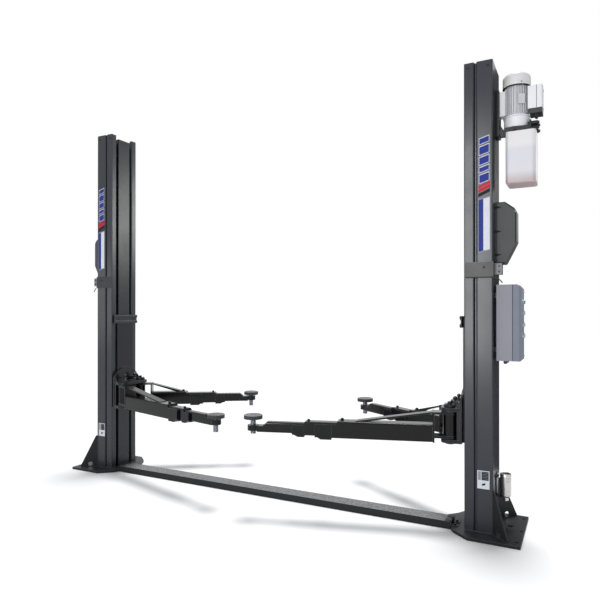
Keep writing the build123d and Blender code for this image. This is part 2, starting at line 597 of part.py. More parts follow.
def control_box():
    """Wall box with a deep bevelled lid, on two spacers."""
    x, y, t, (z0, z1) = POST_OUTER_X, BOX_HALF_Y, BOX_SHEET, BOX_Z
    body = block(x + BOX_SPACER, BOX_SEAM_X, -y, y, z0, z1)
    lid = side_plate([(BOX_SEAM_X, z0), (BOX_FRONT_X - 5, z0), (BOX_FRONT_X, z0 + 5),
                      (BOX_FRONT_X, z1 - LID_SLOPE), (BOX_FRONT_X - LID_SLOPE, z1), (BOX_SEAM_X, z1)], -y, y)
    lid = chamfer(lid.faces().sort_by(Axis.X)[-1].edges().filter_by(Axis.Z), LID_BEVEL)
    seam = block(BOX_SEAM_X - 2, BOX_SEAM_X + 2, -y - 1, y + 1, z0 - 1, z1 + 1)
    seam -= block(BOX_SEAM_X - 3, BOX_SEAM_X + 3, 3 - y, y - 3, z0 + 3, z1 - 3)
    body += lid - block(BOX_SEAM_X, BOX_FRONT_X - 12, t - y, y - t, z0 + t, z1 - t)
    body -= seam + block(x + BOX_SPACER + t, BOX_SEAM_X + 1, t - y, y - t, z0 + t, z1 - t)
    for z in (z0 + 52, z1 - 78):
        body += block(x, x + BOX_SPACER, -60, 60, z, z + 30)
    return body


def control_buttons():
    """Push buttons and the mains switch on the lid."""
    keys = Part()
    for drop, r in BUTTONS:
        z = BOX_Z[1] - drop
        keys += Pos(BOX_FRONT_X + 1.5, 0, z) * Rot(0, 90, 0) * Cylinder(r + 4, 3)
        keys += Pos(BOX_FRONT_X + 6.5, 0, z) * Rot(0, 90, 0) * Cylinder(r, 7)
    return keys


def adapter_holder():
    """Shelf bracket that stores a height adapter at the foot of the post."""
    x = POST_OUTER_X
    plate = block(x, x + 6, -32, 32, SHELF_Z - 14, SHELF_Z + ADAPTER_HEIGHT - 4)
    shelf = block(x + 6, x + SHELF_REACH + 24, -26, 26, SHELF_Z - SHELF_SHEET, SHELF_Z)
    hole = upright(x + SHELF_REACH, 0, SHELF_Z - 10, SHELF_Z + 10, SPIGOT_RADIUS + 1)
    return plate + shelf - hole


def height_adapter():
    """Turned steel height adapter: wide socket above a narrow spigot."""
    x, z0, z1 = POST_OUTER_X + SHELF_REACH, SHELF_Z, SHELF_Z + ADAPTER_HEIGHT
    body = fillet(upright(x, 0, z0, z1, ADAPTER_RADIUS).edges().sort_by(Axis.Z)[-1], 4)
    body += upright(x, 0, z0 - SPIGOT_LENGTH, z0, SPIGOT_RADIUS)
    return body - upright(x, 0, z1 - 36, z1 + 4, SCREW_RADIUS + 2 * SCREW_CLEARANCE)


def place_arm(side, end, swing, shape):
    """Turns and moves a shape drawn along X to its pivot and rest swing."""
    turn = degrees(atan2(end * sin(radians(swing)), -side * cos(radians(swing))))
    return Pos(side * PIVOT_X, end * PIVOT_Y, 0) * Rot(0, 0, turn) * shape


def both(shape):
    """A right hand shape together with its left hand twin."""
    return Compound(children=[shape, mirrored(shape)])


def build():
    """All pieces by node name."""
    post, plate, slide, pad = column(), base_plate(), carriage(), bumper()
    gussets = Compound(children=[gusset(-1), gusset(1)])
    pieces = {
        "column_right": post, "column_left": mirrored(post),
        "base_plate_right": plate, "base_plate_left": mirrored(plate),
        "base_gussets": both(gussets),
        "column_cover_strips": both(cover_strip()),
        "floor_cover": floor_cover(),
        "lock_covers": both(lock_cover()),
        "accessory_bands": both(accessory_band()),
        "carriage_right": slide, "carriage_left": mirrored(slide),
        "bumper_right": pad, "bumper_left": mirrored(pad),
        "power_unit_bracket": unit_bracket(),
        "motor_body": motor_body(),
        "motor_fan_cover": fan_cover(),
        "motor_terminal_box": terminal_box(),
        "pump_block": pump_block(),
        "oil_tank": oil_tank(),
        "control_box": control_box(),
        "control_buttons": control_buttons(),
        "adapter_holder": adapter_holder(),
        "height_adapter": height_adapter(),
    }
    for name, (side, end, swing, mouth1, mouth2, pad_at, raised, strut_end) in ARMS.items():
        length = name.split("_")[0]
        shapes = {
            "arm_outer_": arm_outer(mouth1, strut_end),
            "arm_middle_": arm_middle(mouth2, STAGE_TWO_LENGTH[length]),
            "arm_inner_": arm_inner(pad_at, STAGE_THREE_LENGTH[length]),
            "pad_screw_": pad_screw(pad_at, raised),
            "pad_rubber_": pad_rubber(pad_at, raised),
        }
        for piece, shape in shapes.items():
            pieces[piece + name] = place_arm(side, end, swing, shape)
        pin = lock_pin(end)
        pieces["lock_pin_" + name] = pin if side > 0 else mirrored(pin)
    return pieces


os.makedirs("parts", exist_ok=True)
for node, shape in build().items():
    export_step(shape, "parts/" + node + ".step")
    print(node)
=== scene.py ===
# %% [markdown]
# # A two post car lift
# The lift's steel shapes come ready made from a CAD file. This lesson gives each of them the surface
# that the real one has, and adds the small things that CAD leaves out: bolts, welds, springs, screw
# threads, cable glands and stickers. All sizes are in metres, X runs from the left post to the
# right post, -Y is the front and Z is up.

# %% Load the CAD frame
import bpy
import bmesh
from math import cos, pi, radians, sin, sqrt
from mathutils import Matrix, Vector


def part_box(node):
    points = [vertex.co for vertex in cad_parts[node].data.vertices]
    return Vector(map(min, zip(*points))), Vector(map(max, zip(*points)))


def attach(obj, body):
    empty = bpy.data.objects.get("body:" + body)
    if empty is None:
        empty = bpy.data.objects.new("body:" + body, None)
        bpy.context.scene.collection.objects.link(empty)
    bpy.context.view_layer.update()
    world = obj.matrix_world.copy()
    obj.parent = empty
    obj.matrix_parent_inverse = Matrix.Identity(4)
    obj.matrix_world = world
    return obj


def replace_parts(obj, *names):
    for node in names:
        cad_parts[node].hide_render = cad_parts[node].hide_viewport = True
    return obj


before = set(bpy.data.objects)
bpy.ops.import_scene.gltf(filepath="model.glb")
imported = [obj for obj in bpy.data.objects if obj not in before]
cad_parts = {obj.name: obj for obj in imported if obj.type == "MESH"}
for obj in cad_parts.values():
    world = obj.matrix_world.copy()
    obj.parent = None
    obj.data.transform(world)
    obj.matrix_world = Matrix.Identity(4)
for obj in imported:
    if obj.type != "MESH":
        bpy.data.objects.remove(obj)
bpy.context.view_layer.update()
scene = bpy.context.scene

# %% [markdown]
# The camera comes first, because every later choice is judged through it. It stands at 1.35 m, in front
# of the right post, and looks between the posts. A 33 mm lens is a mild wide angle, which makes the near
# post look taller than the far one. The camera stays nearly level, so that the posts are upright, and a
# small lens shift lowers the view.

# %% Camera
camera_data = bpy.data.cameras.new("studio_camera")
camera_data.sensor_width = 36.0
camera_data.lens = 33.37
camera_data.shift_y = 0.0167
camera = bpy.data.objects.new("studio_camera", camera_data)
camera.location = (2.114, -3.631, 1.346)
camera.rotation_euler = (radians(90.21), 0.0, radians(27.01))
scene.collection.objects.link(camera)
scene.camera = camera
print("lens", camera_data.lens, "mm, at", tuple(round(v, 3) for v in camera.location))

# %% [markdown]
# Every material is a small graph of nodes, so a few helpers save typing. `linear` turns sRGB hex colours
# into the linear numbers that the renderer counts in. `add` makes a node, sets it up by name, and links
# or fills its inputs. `calc` and `blend` are short forms of the two kinds that come most often.

# %% Colour and node helpers
def linear(hex_colour):
    """Linear RGBA of an sRGB hex colour such as #50545a."""
    parts = [int(hex_colour[i:i + 2], 16) / 255 for i in (1, 3, 5)]
    return tuple(p / 12.92 if p <= 0.04045 else ((p + 0.055) / 1.055) ** 2.4 for p in parts) + (1.0,)


def output(value):
    """A node stands for its first output, and anything else for itself."""
    return value.outputs[0] if isinstance(value, bpy.types.Node) else value


def add(tree, kind, inputs=None, **settings):
    """One new node; inputs maps a socket's name or number to a value, a node or another socket."""
    node = tree.nodes.new("ShaderNode" + kind)
    for key, value in settings.items():
        setattr(node, key, value)
    for socket, value in (inputs or {}).items():
        value = output(value)
        if isinstance(value, bpy.types.NodeSocket):
            tree.links.new(value, node.inputs[socket])
        else:
            node.inputs[socket].default_value = value
    return node


def calc(tree, operation, first, second):
    """Math node on two numbers."""
    return add(tree, "Math", {0: first, 1: second}, operation=operation)


def blend(tree, share, first, second, how="MIX"):
    """Colour that a share of the second one makes with the first."""
    return add(tree, "Mix", {0: share, 6: first, 7: second}, data_type="RGBA", blend_type=how).outputs[2]


print("mid grey #808080 is", round(linear("#808080")[0], 3), "in linear light")

# %% [markdown]
# The studio is a white sweep. The world lights the lift evenly, and is pure white where the camera, a
# reflection or a see-through part looks at it. The light path node tells these rays apart, so the white
# needs no stronger light on the lift.

# %% White world
def looked_at(tree):
    """Light path node, and a 1 for rays from the camera or from a reflection."""
    rays = add(tree, "LightPath")
    shiny = calc(tree, "MAXIMUM", rays.outputs["Is Camera Ray"], rays.outputs["Is Glossy Ray"])
    return rays, shiny


world = bpy.data.worlds.new("white_sweep")
world.use_nodes = True
scene.world = world
tree = world.node_tree
tree.nodes.clear()
rays, shiny = looked_at(tree)
seen = calc(tree, "MAXIMUM", shiny, rays.outputs["Is Transmission Ray"])
soft = add(tree, "Background", {"Color": linear("#f2f5fa"), "Strength": 0.38})
white = add(tree, "Background", {"Color": (1, 1, 1, 1), "Strength": 1.0})
sky = add(tree, "MixShader", {0: seen, 1: soft, 2: white})
add(tree, "OutputWorld", {0: sky})
print("world lights at", round(soft.inputs["Strength"].default_value, 2))

# %% [markdown]
# The floor is pale and matt. To the camera it also glows a little, so that it runs into the background
# but still shows soft shadows. A stronger lamp would whiten it too, but wash out the lift.

# %% Pale floor
floor_paint = bpy.data.materials.new("matt_studio_floor")
floor_paint.use_nodes = True
tree = floor_paint.node_tree
tree.nodes.clear()
rays, shiny = looked_at(tree)
matt = add(tree, "BsdfDiffuse", {"Color": linear("#f4f4f4")})
glow = add(tree, "Emission", {"Color": (1, 1, 1, 1), "Strength": shiny})
dimmed = add(tree, "MixShader", {0: 0.04, 2: glow})
both = add(tree, "AddShader", {0: matt, 1: dimmed})
add(tree, "OutputMaterial", {0: both})
bpy.ops.mesh.primitive_plane_add(size=60, location=(0, 0, 0))
floor = bpy.context.object
floor.name = "studio_floor"
floor.data.materials.append(floor_paint)
print("floor", round(floor.dimensions.x), "m wide")

# %% [markdown]
# The main light comes from above and a little behind, so the arms drop soft shadows in front of them
# while the posts show none. It is a sun, because that lights the wide floor evenly, and its angle sets
# how soft the shadows are. Three panels are there for their reflections: in the right post, in the left
# post, and in the strip inside the left post.

# %% Lamps
def softbox(name, place, target, width, height, power):
    """Area lamp at a place that looks at a target, not seen by the camera itself."""
    data = bpy.data.lights.new(name, "AREA")
    data.shape = "RECTANGLE"
    data.size, data.size_y, data.energy = width, height, power
    lamp = bpy.data.objects.new(name, data)
    lamp.location = place
    lamp.rotation_euler = (Vector(target) - Vector(place)).to_track_quat("-Z", "Y").to_euler()
    lamp.visible_camera = False
    scene.collection.objects.link(lamp)


ceiling = bpy.data.lights.new("ceiling_light", "SUN")
ceiling.energy = 2.45
ceiling.angle = radians(15)
lamp = bpy.data.objects.new("ceiling_light", ceiling)
lamp.rotation_euler = Vector((0.02, -0.19, -1.0)).to_track_quat("-Z", "Y").to_euler()
scene.collection.objects.link(lamp)
softbox("front_panel", (0.35, -6.4, 2.4), (1.55, 0, 2.15), 0.7, 4.0, 150)
softbox("left_panel", (-5.3, -3.9, 1.6), (-1.55, 0, 1.5), 1.0, 1.4, 10)
softbox("strip_panel", (5.4, 7.0, 3.7), (-1.45, 0, 2.2), 1.6, 1.9, 110)
print("4 lamps")

# %% [markdown]
# A black card behind on the right, a usual trick with glossy things, is mirrored in the post's outer side
# and keeps it dark. Less light would darken every side at once. Only reflections see the card, so it
# throws no shadow.

# %% Black card
bpy.ops.mesh.primitive_plane_add(size=1, location=(2.1, 1.3, 1.7), rotation=(pi / 2, 0, 0))
card = bpy.context.object
card.name = "black_card"
card.scale = (1.2, 3.4, 1)
card.visible_camera = card.visible_diffuse = card.visible_shadow = False
black_felt = bpy.data.materials.new("black_felt")
black_felt.use_nodes = True
black_felt.node_tree.nodes["Principled BSDF"].inputs["Base Color"].default_value = linear("#26282b")
card.data.materials.append(black_felt)
print("card", tuple(round(v, 1) for v in card.scale[:2]), "m")

# %% [markdown]
# Each finish begins as a principled shader with the numbers of such a material. `start_finish` gives back
# the tree, the shader and the place of a point in metres, so that every pattern can have its real size.
# `cloudy` ends those that vary in colour and gloss.

# %% How every finish starts
finishes = {}


def start_finish(name, colour, rough, **shader):
    """New material: its node tree, its principled shader and object coordinates in metres."""
    material = bpy.data.materials.new(name)
    material.use_nodes = True
    tree = material.node_tree
    tree.nodes.clear()
    inputs = {"Base Color": linear(colour), "Roughness": rough}
    inputs.update({key.replace("_", " "): value for key, value in shader.items()})
    surface = add(tree, "BsdfPrincipled", inputs)
    add(tree, "OutputMaterial", {0: surface})
    finishes[name] = material
    return tree, surface, add(tree, "TexCoord").outputs["Object"]


def link(tree, surface, **sources):
    """Joins nodes or sockets to inputs of the surface shader; base_color means Base Color."""
    for key, source in sources.items():
        tree.links.new(output(source), surface.inputs[key.replace("_", " ").title()])


def upward(tree):
    """How far a surface looks up, from 0 on walls and undersides to 1 on level tops."""
    normal = add(tree, "SeparateXYZ", {0: add(tree, "NewGeometry").outputs["Normal"]})
    return add(tree, "MapRange", {0: normal.outputs["Z"], 1: 0.25, 2: 0.95})


def cloudy(tree, surface, cloud, colour, shade, rough, bump):
    """Ends a finish: a cloud varies colour and gloss between two limits each, and a height makes the bump."""
    shade = add(tree, "MapRange", {0: cloud, 3: shade[0], 4: shade[1]})
    tone = add(tree, "HueSaturation", {"Value": shade, "Color": colour})
    gloss = add(tree, "MapRange", {0: cloud, 3: rough[0], 4: rough[1]})
    height, strength, distance = bump
    bump = add(tree, "Bump", {"Height": height, "Strength": strength, "Distance": distance})
    link(tree, surface, base_color=tone, roughness=gloss, normal=bump)


print("finishes can be made")

# %% [markdown]
# **Powder coat.** The posts, arms and brackets are steel, blasted and powder coated: dry paint dust is
# baked to a skin 0.08 mm thick, which shrinks into faint dimples 2 to 4 mm apart, known as orange peel.
# Dust settles on what faces up. Edges are paler, partly rubbed and partly a painted highlight where light
# catches the bend. An IOR of 1.5 is typical of polyester. Wear could be painted by hand on a picture, but
# a pattern that reads edges and directions fits every piece.

# %% Powder coated steel
def powder_coat(name, colour, dust, rough, peel_mm=3.0, peel=0.10, level=0.5, settle=0.25, edge_wear_and_highlight=0.3):
    """Baked paint on steel with orange peel, settled dust, and paler edges: wear and a painted highlight."""
    tree, surface, place = start_finish(name, colour, rough, IOR=1.5, Specular_IOR_Level=level)
    cloud = add(tree, "TexNoise", {"Vector": place, "Scale": 4.0, "Detail": 6.0, "Roughness": 0.65})
    patchy = add(tree, "MapRange", {0: cloud, 1: 0.35, 2: 0.75, 3: 0.3, 4: 1.0})
    dusty = calc(tree, "MULTIPLY", upward(tree), patchy)
    dusty = calc(tree, "MULTIPLY", dusty, settle)
    # Near an edge the bevel node's normal leans away from the true one, and there the paint is paler:
    # partly rubbed, partly a painted highlight along the bend.
    lean = add(tree, "VectorMath", {0: add(tree, "Bevel", {"Radius": 0.0022}),
                                    1: add(tree, "NewGeometry").outputs["Normal"]}, operation="DOT_PRODUCT")
    edge = add(tree, "MapRange", {0: lean.outputs["Value"], 1: 0.995, 2: 0.85, 3: 0.0, 4: edge_wear_and_highlight})
    pale = calc(tree, "MAXIMUM", dusty, edge)
    # The paler colour stands for settled dust on tops and, on edges, for wear and a painted highlight.
    tint = blend(tree, pale, linear(colour), linear(dust))
    # One dimple is one noise cell, so the scale is cells per metre.
    skin = add(tree, "TexNoise", {"Vector": place, "Scale": 1000 / peel_mm, "Detail": 2.0})
    cloudy(tree, surface, cloud, tint, (0.90, 1.10), (rough - 0.06, rough + 0.08), (skin, peel, 0.0006))


powder_coat("anthracite_powder_coat", "#2f3238", "#9a9da2", 0.22, peel=0.04, level=0.32, settle=0.1, edge_wear_and_highlight=0.5)
powder_coat("base_plate_powder_coat", "#1d1f22", "#8a8d91", 0.46, peel=0.16, level=0.22, settle=0.10, edge_wear_and_highlight=0.5)
powder_coat("strip_powder_coat", "#1a1c1e", "#75777a", 0.26, level=0.34)
powder_coat("gloss_black_powder_coat", "#0b0b0d", "#9a9ca0", 0.15, level=0.22, settle=0.04, edge_wear_and_highlight=0.4)
powder_coat("yoke_powder_coat", "#1a1a1d", "#9a9ca0", 0.24, level=0.26, settle=0.07, edge_wear_and_highlight=0.4)
powder_coat("pale_grey_paint", "#808287", "#b9bac2", 0.50, level=0.3)
powder_coat("control_box_texture_coat", "#85868f", "#b9bac2", 0.55, peel_mm=1.6, peel=0.35)
powder_coat("motor_cowl_paint", "#d7d6d6", "#c9c9c9", 0.36, peel=0.08, settle=0.15)
print(len(finishes), "powder coats")

# %% [markdown]
# The lid of the control box is a touch darker and bluer than its body. Both are one CAD solid with one
# material, so a switch on X tints what lies beyond the seam. A second material would need the solid cut
# in two.

# %% Lid of the control box
seam = 1.737
tree = finishes["control_box_texture_coat"].node_tree
surface = tree.nodes["Principled BSDF"]
across = add(tree, "SeparateXYZ", {0: add(tree, "TexCoord").outputs["Object"]})
lid = calc(tree, "GREATER_THAN", across.outputs["X"], seam)
body = surface.inputs["Base Color"].links[0].from_socket
tint = blend(tree, lid, body, linear("#dae2ee"), "MULTIPLY")
link(tree, surface, base_color=tint)
print("lid beyond x", seam)

# %% [markdown]
# **Chequer plate.** The cover over the floor run is rolled plate with lens shaped bars for grip, which
# lie left and right by turns and repeat about every 28 mm. A picture of it would blur in a close view.
# Here the distance to the middle of each cell draws the bars. On upward faces the same height brightens
# their tops: partly wear, where feet and tyres rub the paint away, and partly a painted reflection of the
# bright room, which the plate catches at a low angle.

# %% Chequer plate with wear and a painted sheen on top
def tread_bars(tree, place, pitch):
    """Height of lens shaped bars, one each way in every square of the given pitch."""
    heights = []
    for turn, shift in ((1, 0.0), (-1, pitch / 2)):
        moved = add(tree, "VectorMath", {0: place, 1: (shift, shift, 0)}, operation="ADD")
        cell = add(tree, "VectorMath", {0: moved, 1: (1 / pitch,) * 3}, operation="MULTIPLY")
        part = add(tree, "VectorMath", {0: cell}, operation="FRACTION")
        middle = add(tree, "VectorMath", {0: part, 1: (0.5, 0.5, 0)}, operation="SUBTRACT")
        turned_to = add(tree, "VectorRotate", {"Vector": middle, "Angle": turn * pi / 4},
                        rotation_type="Z_AXIS")
        lens = add(tree, "VectorMath", {0: turned_to, 1: (2.4, 8.5, 0)}, operation="MULTIPLY")
        away = add(tree, "VectorMath", {0: lens}, operation="LENGTH")
        heights.append(add(tree, "MapRange", {0: away.outputs["Value"], 1: 1.0, 2: 0.5}))
    return calc(tree, "MAXIMUM", heights[0], heights[1])


tree, surface, place = start_finish(
    "chequer_plate_wear_and_sheen", "#3c3d40", 0.42, IOR=1.5, Specular_IOR_Level=0.25)
pitch = 0.028
bars = tread_bars(tree, place, pitch)
grime = add(tree, "TexNoise", {"Vector": place, "Scale": 60.0, "Detail": 8.0, "Roughness": 0.7})
bare = add(tree, "MapRange", {0: grime, 1: 0.38, 2: 0.56, 3: 0.35, 4: 1.0})
# Painted reflection and wear: upward faces are paler, most of all on the bars' tops.
on_top = calc(tree, "MULTIPLY", upward(tree), bare)
lit = add(tree, "MapRange", {0: bars, 3: 0.45, 4: 1.0})
wear_and_sheen = calc(tree, "MULTIPLY", on_top, lit)
colour = blend(tree, wear_and_sheen, linear("#1b1c1e"), linear("#a2a2a4"))
gloss = add(tree, "MapRange", {0: wear_and_sheen, 3: 0.5, 4: 0.3})
# The bars stand 1.5 mm proud on the real plate.
bump = add(tree, "Bump", {"Height": bars, "Strength": 0.7, "Distance": 0.0015})
link(tree, surface, base_color=colour, roughness=gloss, normal=bump)
print("bars every", pitch * 1000, "mm")

# %% [markdown]
# **Rubber and plastics.** Bumpers and pads are black NR rubber, matt with a fine grit and greyed by dust.
# The latch hoods are grained ABS, the knobs and keys glossy phenolic or polyamide. All have an IOR near
# 1.5, so only colour, roughness and grain differ, and one function holds the pattern they share.

# %% Moulded rubber and plastics
def moulded(name, colour, dust, rough, grain_mm, grain, settle=0.3, **shader):
    """Moulded dielectric with a fine grain and a little dust on its upper sides."""
    shader.setdefault("IOR", 1.5)
    tree, surface, place = start_finish(name, colour, rough, **shader)
    cloud = add(tree, "TexNoise", {"Vector": place, "Scale": 9.0, "Detail": 5.0})
    dusty = calc(tree, "MULTIPLY", upward(tree), cloud)
    dusty = calc(tree, "MULTIPLY", dusty, settle)
    tint = blend(tree, dusty, linear(colour), linear(dust))
    cells = add(tree, "TexVoronoi", {"Vector": place, "Scale": 1000 / grain_mm}).outputs["Distance"]
    cloudy(tree, surface, cloud, tint, (0.92, 1.08), (rough - 0.05, rough + 0.07), (cells, grain, 0.0004))


moulded("moulded_black_rubber", "#26282c", "#a6a8ad", 0.70, 1.2, 0.5, settle=0.85, IOR=1.52)
moulded("grained_black_abs", "#333437", "#909193", 0.50, 1.0, 0.45, IOR=1.53)
moulded("phenolic_knob_black", "#101012", "#6d6e70", 0.16, 3.0, 0.05, IOR=1.58)
# Painted shade: a near black with little gloss, for wedges and slots that stand for shade in recesses.
moulded("painted_shade_black", "#0b0b0c", "#1c1c1e", 0.70, 1.0, 0.3, Specular_IOR_Level=0.1)
moulded("polyamide_black", "#1c1c1f", "#7c7d80", 0.45, 0.8, 0.3, IOR=1.53)
moulded("green_key_cap", "#17946c", "#9fb8ae", 0.30, 2.0, 0.08)
moulded("pale_key_cap", "#c4d2d2", "#c8c8c8", 0.30, 2.0, 0.08)
print("plastics made")

# %% [markdown]
# **HDPE tank.** The oil tank is blow moulded from natural polyethylene, 4 to 5 mm thick. Light enters,
# scatters and comes out again, so its sides glow softly. White paint would look flat, while subsurface
# scattering does what the real wall does. Where the oil stands inside, the wall is a touch cooler, and
# the tank's floor is a warm grey.

# %% Milky tank plastic
tank_low, tank_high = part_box("oil_tank")
tree, surface, place = start_finish(
    "natural_hdpe", "#e0dbdc", 0.36, IOR=1.54, Subsurface_Weight=0.25, Subsurface_Scale=0.02)
height = add(tree, "SeparateXYZ", {0: place}).outputs["Z"]
oil = add(tree, "MapRange", {0: height, 1: tank_low.z + 0.20, 2: tank_low.z + 0.23, 3: 1.0, 4: 0.0})
base = add(tree, "MapRange", {0: height, 1: tank_low.z + 0.008, 2: tank_low.z + 0.07, 3: 1.0, 4: 0.0})
cool = blend(tree, oil, linear("#e0dbdc"), linear("#d3d0d7"))
warm = blend(tree, base, cool, linear("#b4a5a5"))
cloud = add(tree, "TexNoise", {"Vector": place, "Scale": 25.0, "Detail": 3.0})
bump = add(tree, "Bump", {"Height": cloud, "Strength": 0.12, "Distance": 0.002})
satin = add(tree, "MapRange", {0: cloud, 3: 0.30, 4: 0.42})
link(tree, surface, base_color=warm, roughness=satin, normal=bump)
print("tank from z", round(tank_low.z, 3), "to", round(tank_high.z, 3))

# %% [markdown]
# **Bare and plated metals.** Screws and fittings are zinc plated or turned steel. A metal takes its
# colour from its reflection, so metallic is 1 and the base colour is the metal's own. Turning and drawing
# leave fine marks, which a stretched noise gives without a picture. The motor's casing is cast aluminium
# under thin paint, where the mould's sand shows as a 1 mm grain.

# %% Plated, turned and cast metals
def metal(name, colour, rough, mark_mm, mark, stretch=(1, 1, 1), metallic=1.0):
    """Metal with fine marks; stretch draws the marks out along an axis."""
    tree, surface, place = start_finish(name, colour, rough, Metallic=metallic)
    drawn = add(tree, "VectorMath", {0: place, 1: stretch}, operation="MULTIPLY")
    marks = add(tree, "TexNoise", {"Vector": drawn, "Scale": 1000 / mark_mm, "Detail": 3.0})
    cloud = add(tree, "TexNoise", {"Vector": place, "Scale": 30.0, "Detail": 4.0})
    cloudy(tree, surface, cloud, linear(colour), (0.82, 1.08), (rough - 0.08, rough + 0.10),
           (marks, mark, 0.0003))


metal("zinc_plated_steel", "#bfc3ca", 0.28, 2.0, 0.15)
metal("turned_steel", "#c4c2c0", 0.30, 1.2, 0.35, stretch=(0.1, 0.1, 1))
metal("oiled_steel", "#8b8f98", 0.24, 1.5, 0.2)
metal("blackened_steel", "#3a3a3d", 0.38, 1.5, 0.2)
metal("black_anodised_aluminium", "#2a2a2d", 0.34, 1.0, 0.2, metallic=0.7)
metal("brushed_plate_aluminium", "#c9cbce", 0.34, 0.8, 0.25, stretch=(0.06, 0.06, 1))
powder_coat("painted_cast_aluminium", "#e2e3e6", "#a9abaf", 0.30, peel_mm=1.4, peel=0.35, settle=0.2)
print(len(finishes), "finishes in all")

# %% [markdown]
# Between the motor's fins the paint is darkened as painted shade. The occlusion node finds such places
# by how little sky a point sees within 14 mm, so no mask has to be painted.

# %% Painted shade between the fins
tree = finishes["painted_cast_aluminium"].node_tree
surface = tree.nodes["Principled BSDF"]
body = surface.inputs["Base Color"].links[0].from_socket
# Painted shade: the occlusion output darkens the colour where the fins hide each other.
open_sky = add(tree, "AmbientOcclusion", {"Distance": 0.014}).outputs["AO"]
deep = add(tree, "MapRange", {0: open_sky, 1: 0.45, 2: 0.85, 3: 1.0, 4: 0.0})
fin_shade = blend(tree, deep, body, linear("#9fa1a6"))
link(tree, surface, base_color=fin_shade)
print("grime between the fins added")

# %% [markdown]
# Now each CAD node gets the finish of the real piece. Its shape stays as it is, because the moving model
# and this one have to agree, and only the material in its slot changes.

# %% Dress the CAD nodes
dress = {
    "anthracite_powder_coat": ["column_right", "column_left"],
    "base_plate_powder_coat": ["base_plate_right", "base_plate_left", "base_gussets"],
    "strip_powder_coat": ["column_cover_strips"],
    "chequer_plate_wear_and_sheen": ["floor_cover"],
    "yoke_powder_coat": ["carriage_right", "carriage_left", "adapter_holder", "power_unit_bracket",
                         "accessory_bands"],
    "grained_black_abs": ["lock_covers"],
    "moulded_black_rubber": ["bumper_right", "bumper_left"],
    "painted_cast_aluminium": ["motor_body", "motor_terminal_box"],
    "motor_cowl_paint": ["motor_fan_cover"],
    "black_anodised_aluminium": ["pump_block"],
    "natural_hdpe": ["oil_tank"],
    "control_box_texture_coat": ["control_box"],
    "zinc_plated_steel": ["control_buttons"],
}
ends = ("front_right", "front_left", "rear_right", "rear_left")
dress["gloss_black_powder_coat"] = [p + e for p in ("arm_outer_", "arm_middle_", "arm_inner_") for e in ends]
dress["moulded_black_rubber"] += ["pad_rubber_" + e for e in ends]
dress["phenolic_knob_black"] = ["lock_pin_" + e for e in ends]
for finish, nodes in dress.items():
    for node in nodes:
        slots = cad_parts[node].data.materials
        slots.clear()
        slots.append(finishes[finish])
print(sum(len(nodes) for nodes in dress.values()), "nodes dressed")

# %% [markdown]
# The small parts are bare mesh, and nearly all are *turned*, like a bolt or a cap. Blender's own
# cylinders would need a bevel at each edge, while a profile of radius and height holds all edges at once.
# `turned` spins it into a closed skin, and `aim` makes the matrix that carries it to its place and
# direction.

# %% Turned shapes
def aim(at, axis):
    """Matrix that takes the origin to a point and the Z axis to a direction."""
    turn = Vector((0, 0, 1)).rotation_difference(Vector(axis).normalized())
    return Matrix.Translation(at) @ turn.to_matrix().to_4x4()


def turned(bm, profile, place, steps=32):
    """Skin of a turned part; the profile's first and last points close it on the axis."""
    rings = []
    for radius, height in profile:
        spots = [(0.0, 0.0)] if radius < 1e-7 else [
            (radius * cos(2 * pi * k / steps), radius * sin(2 * pi * k / steps)) for k in range(steps)]
        rings.append([bm.verts.new(place @ Vector((x, y, height))) for x, y in spots])
    for low, high in zip(rings, rings[1:]):
        for k in range(max(len(low), len(high))):
            corners = (low[k % len(low)], low[(k + 1) % len(low)],
                       high[(k + 1) % len(high)], high[k % len(high)])
            bm.faces.new(list(dict.fromkeys(corners)))


print("a turned part takes steps times its profile's points")

# %% [markdown]
# Springs and straps are *swept* instead: a circle is dragged along a path, and each new circle keeps the
# turn of the last one, so that the bar doesn't twist. Flat parts are slabs, an outline with a thickness.

# %% Swept bars and flat slabs
def skin_over(bm, rings):
    """Faces over rings of as many vertices each, closed at both ends."""
    for low, high in zip(rings, rings[1:]):
        for k in range(len(low)):
            n = (k + 1) % len(low)
            bm.faces.new((low[k], low[n], high[n], high[k]))
    bm.faces.new(rings[0][::-1])
    bm.faces.new(rings[-1])


def swept(bm, points, radius, sides=10):
    """Round bar along a path, closed at both ends."""
    points = [Vector(p) for p in points]
    rings = []
    across = None
    for i, point in enumerate(points):
        along = (points[min(i + 1, len(points) - 1)] - points[max(i - 1, 0)]).normalized()
        across = along.orthogonal() if across is None else across - across.dot(along) * along
        across.normalize()
        other = along.cross(across)
        rings.append([bm.verts.new(point + radius * (across * cos(2 * pi * k / sides) +
                                                     other * sin(2 * pi * k / sides))) for k in range(sides)])
    skin_over(bm, rings)


def slab(bm, outline, thick, place):
    """Flat piece: an outline in X and Y, made thick along Z, then carried to its place."""
    low = [bm.verts.new(place @ Vector((x, y, 0))) for x, y in outline]
    high = [bm.verts.new(place @ Vector((x, y, thick))) for x, y in outline]
    bm.faces.new(low[::-1])
    bm.faces.new(high)
    for k in range(len(outline)):
        n = (k + 1) % len(outline)
        bm.faces.new((low[k], low[n], high[n], high[k]))


print("bars and slabs ready")

# %% [markdown]
# One function makes an object of each finished mesh. Faces are smooth, and only edges sharper than the
# crease angle stay hard.

# %% From mesh to piece
made = {}


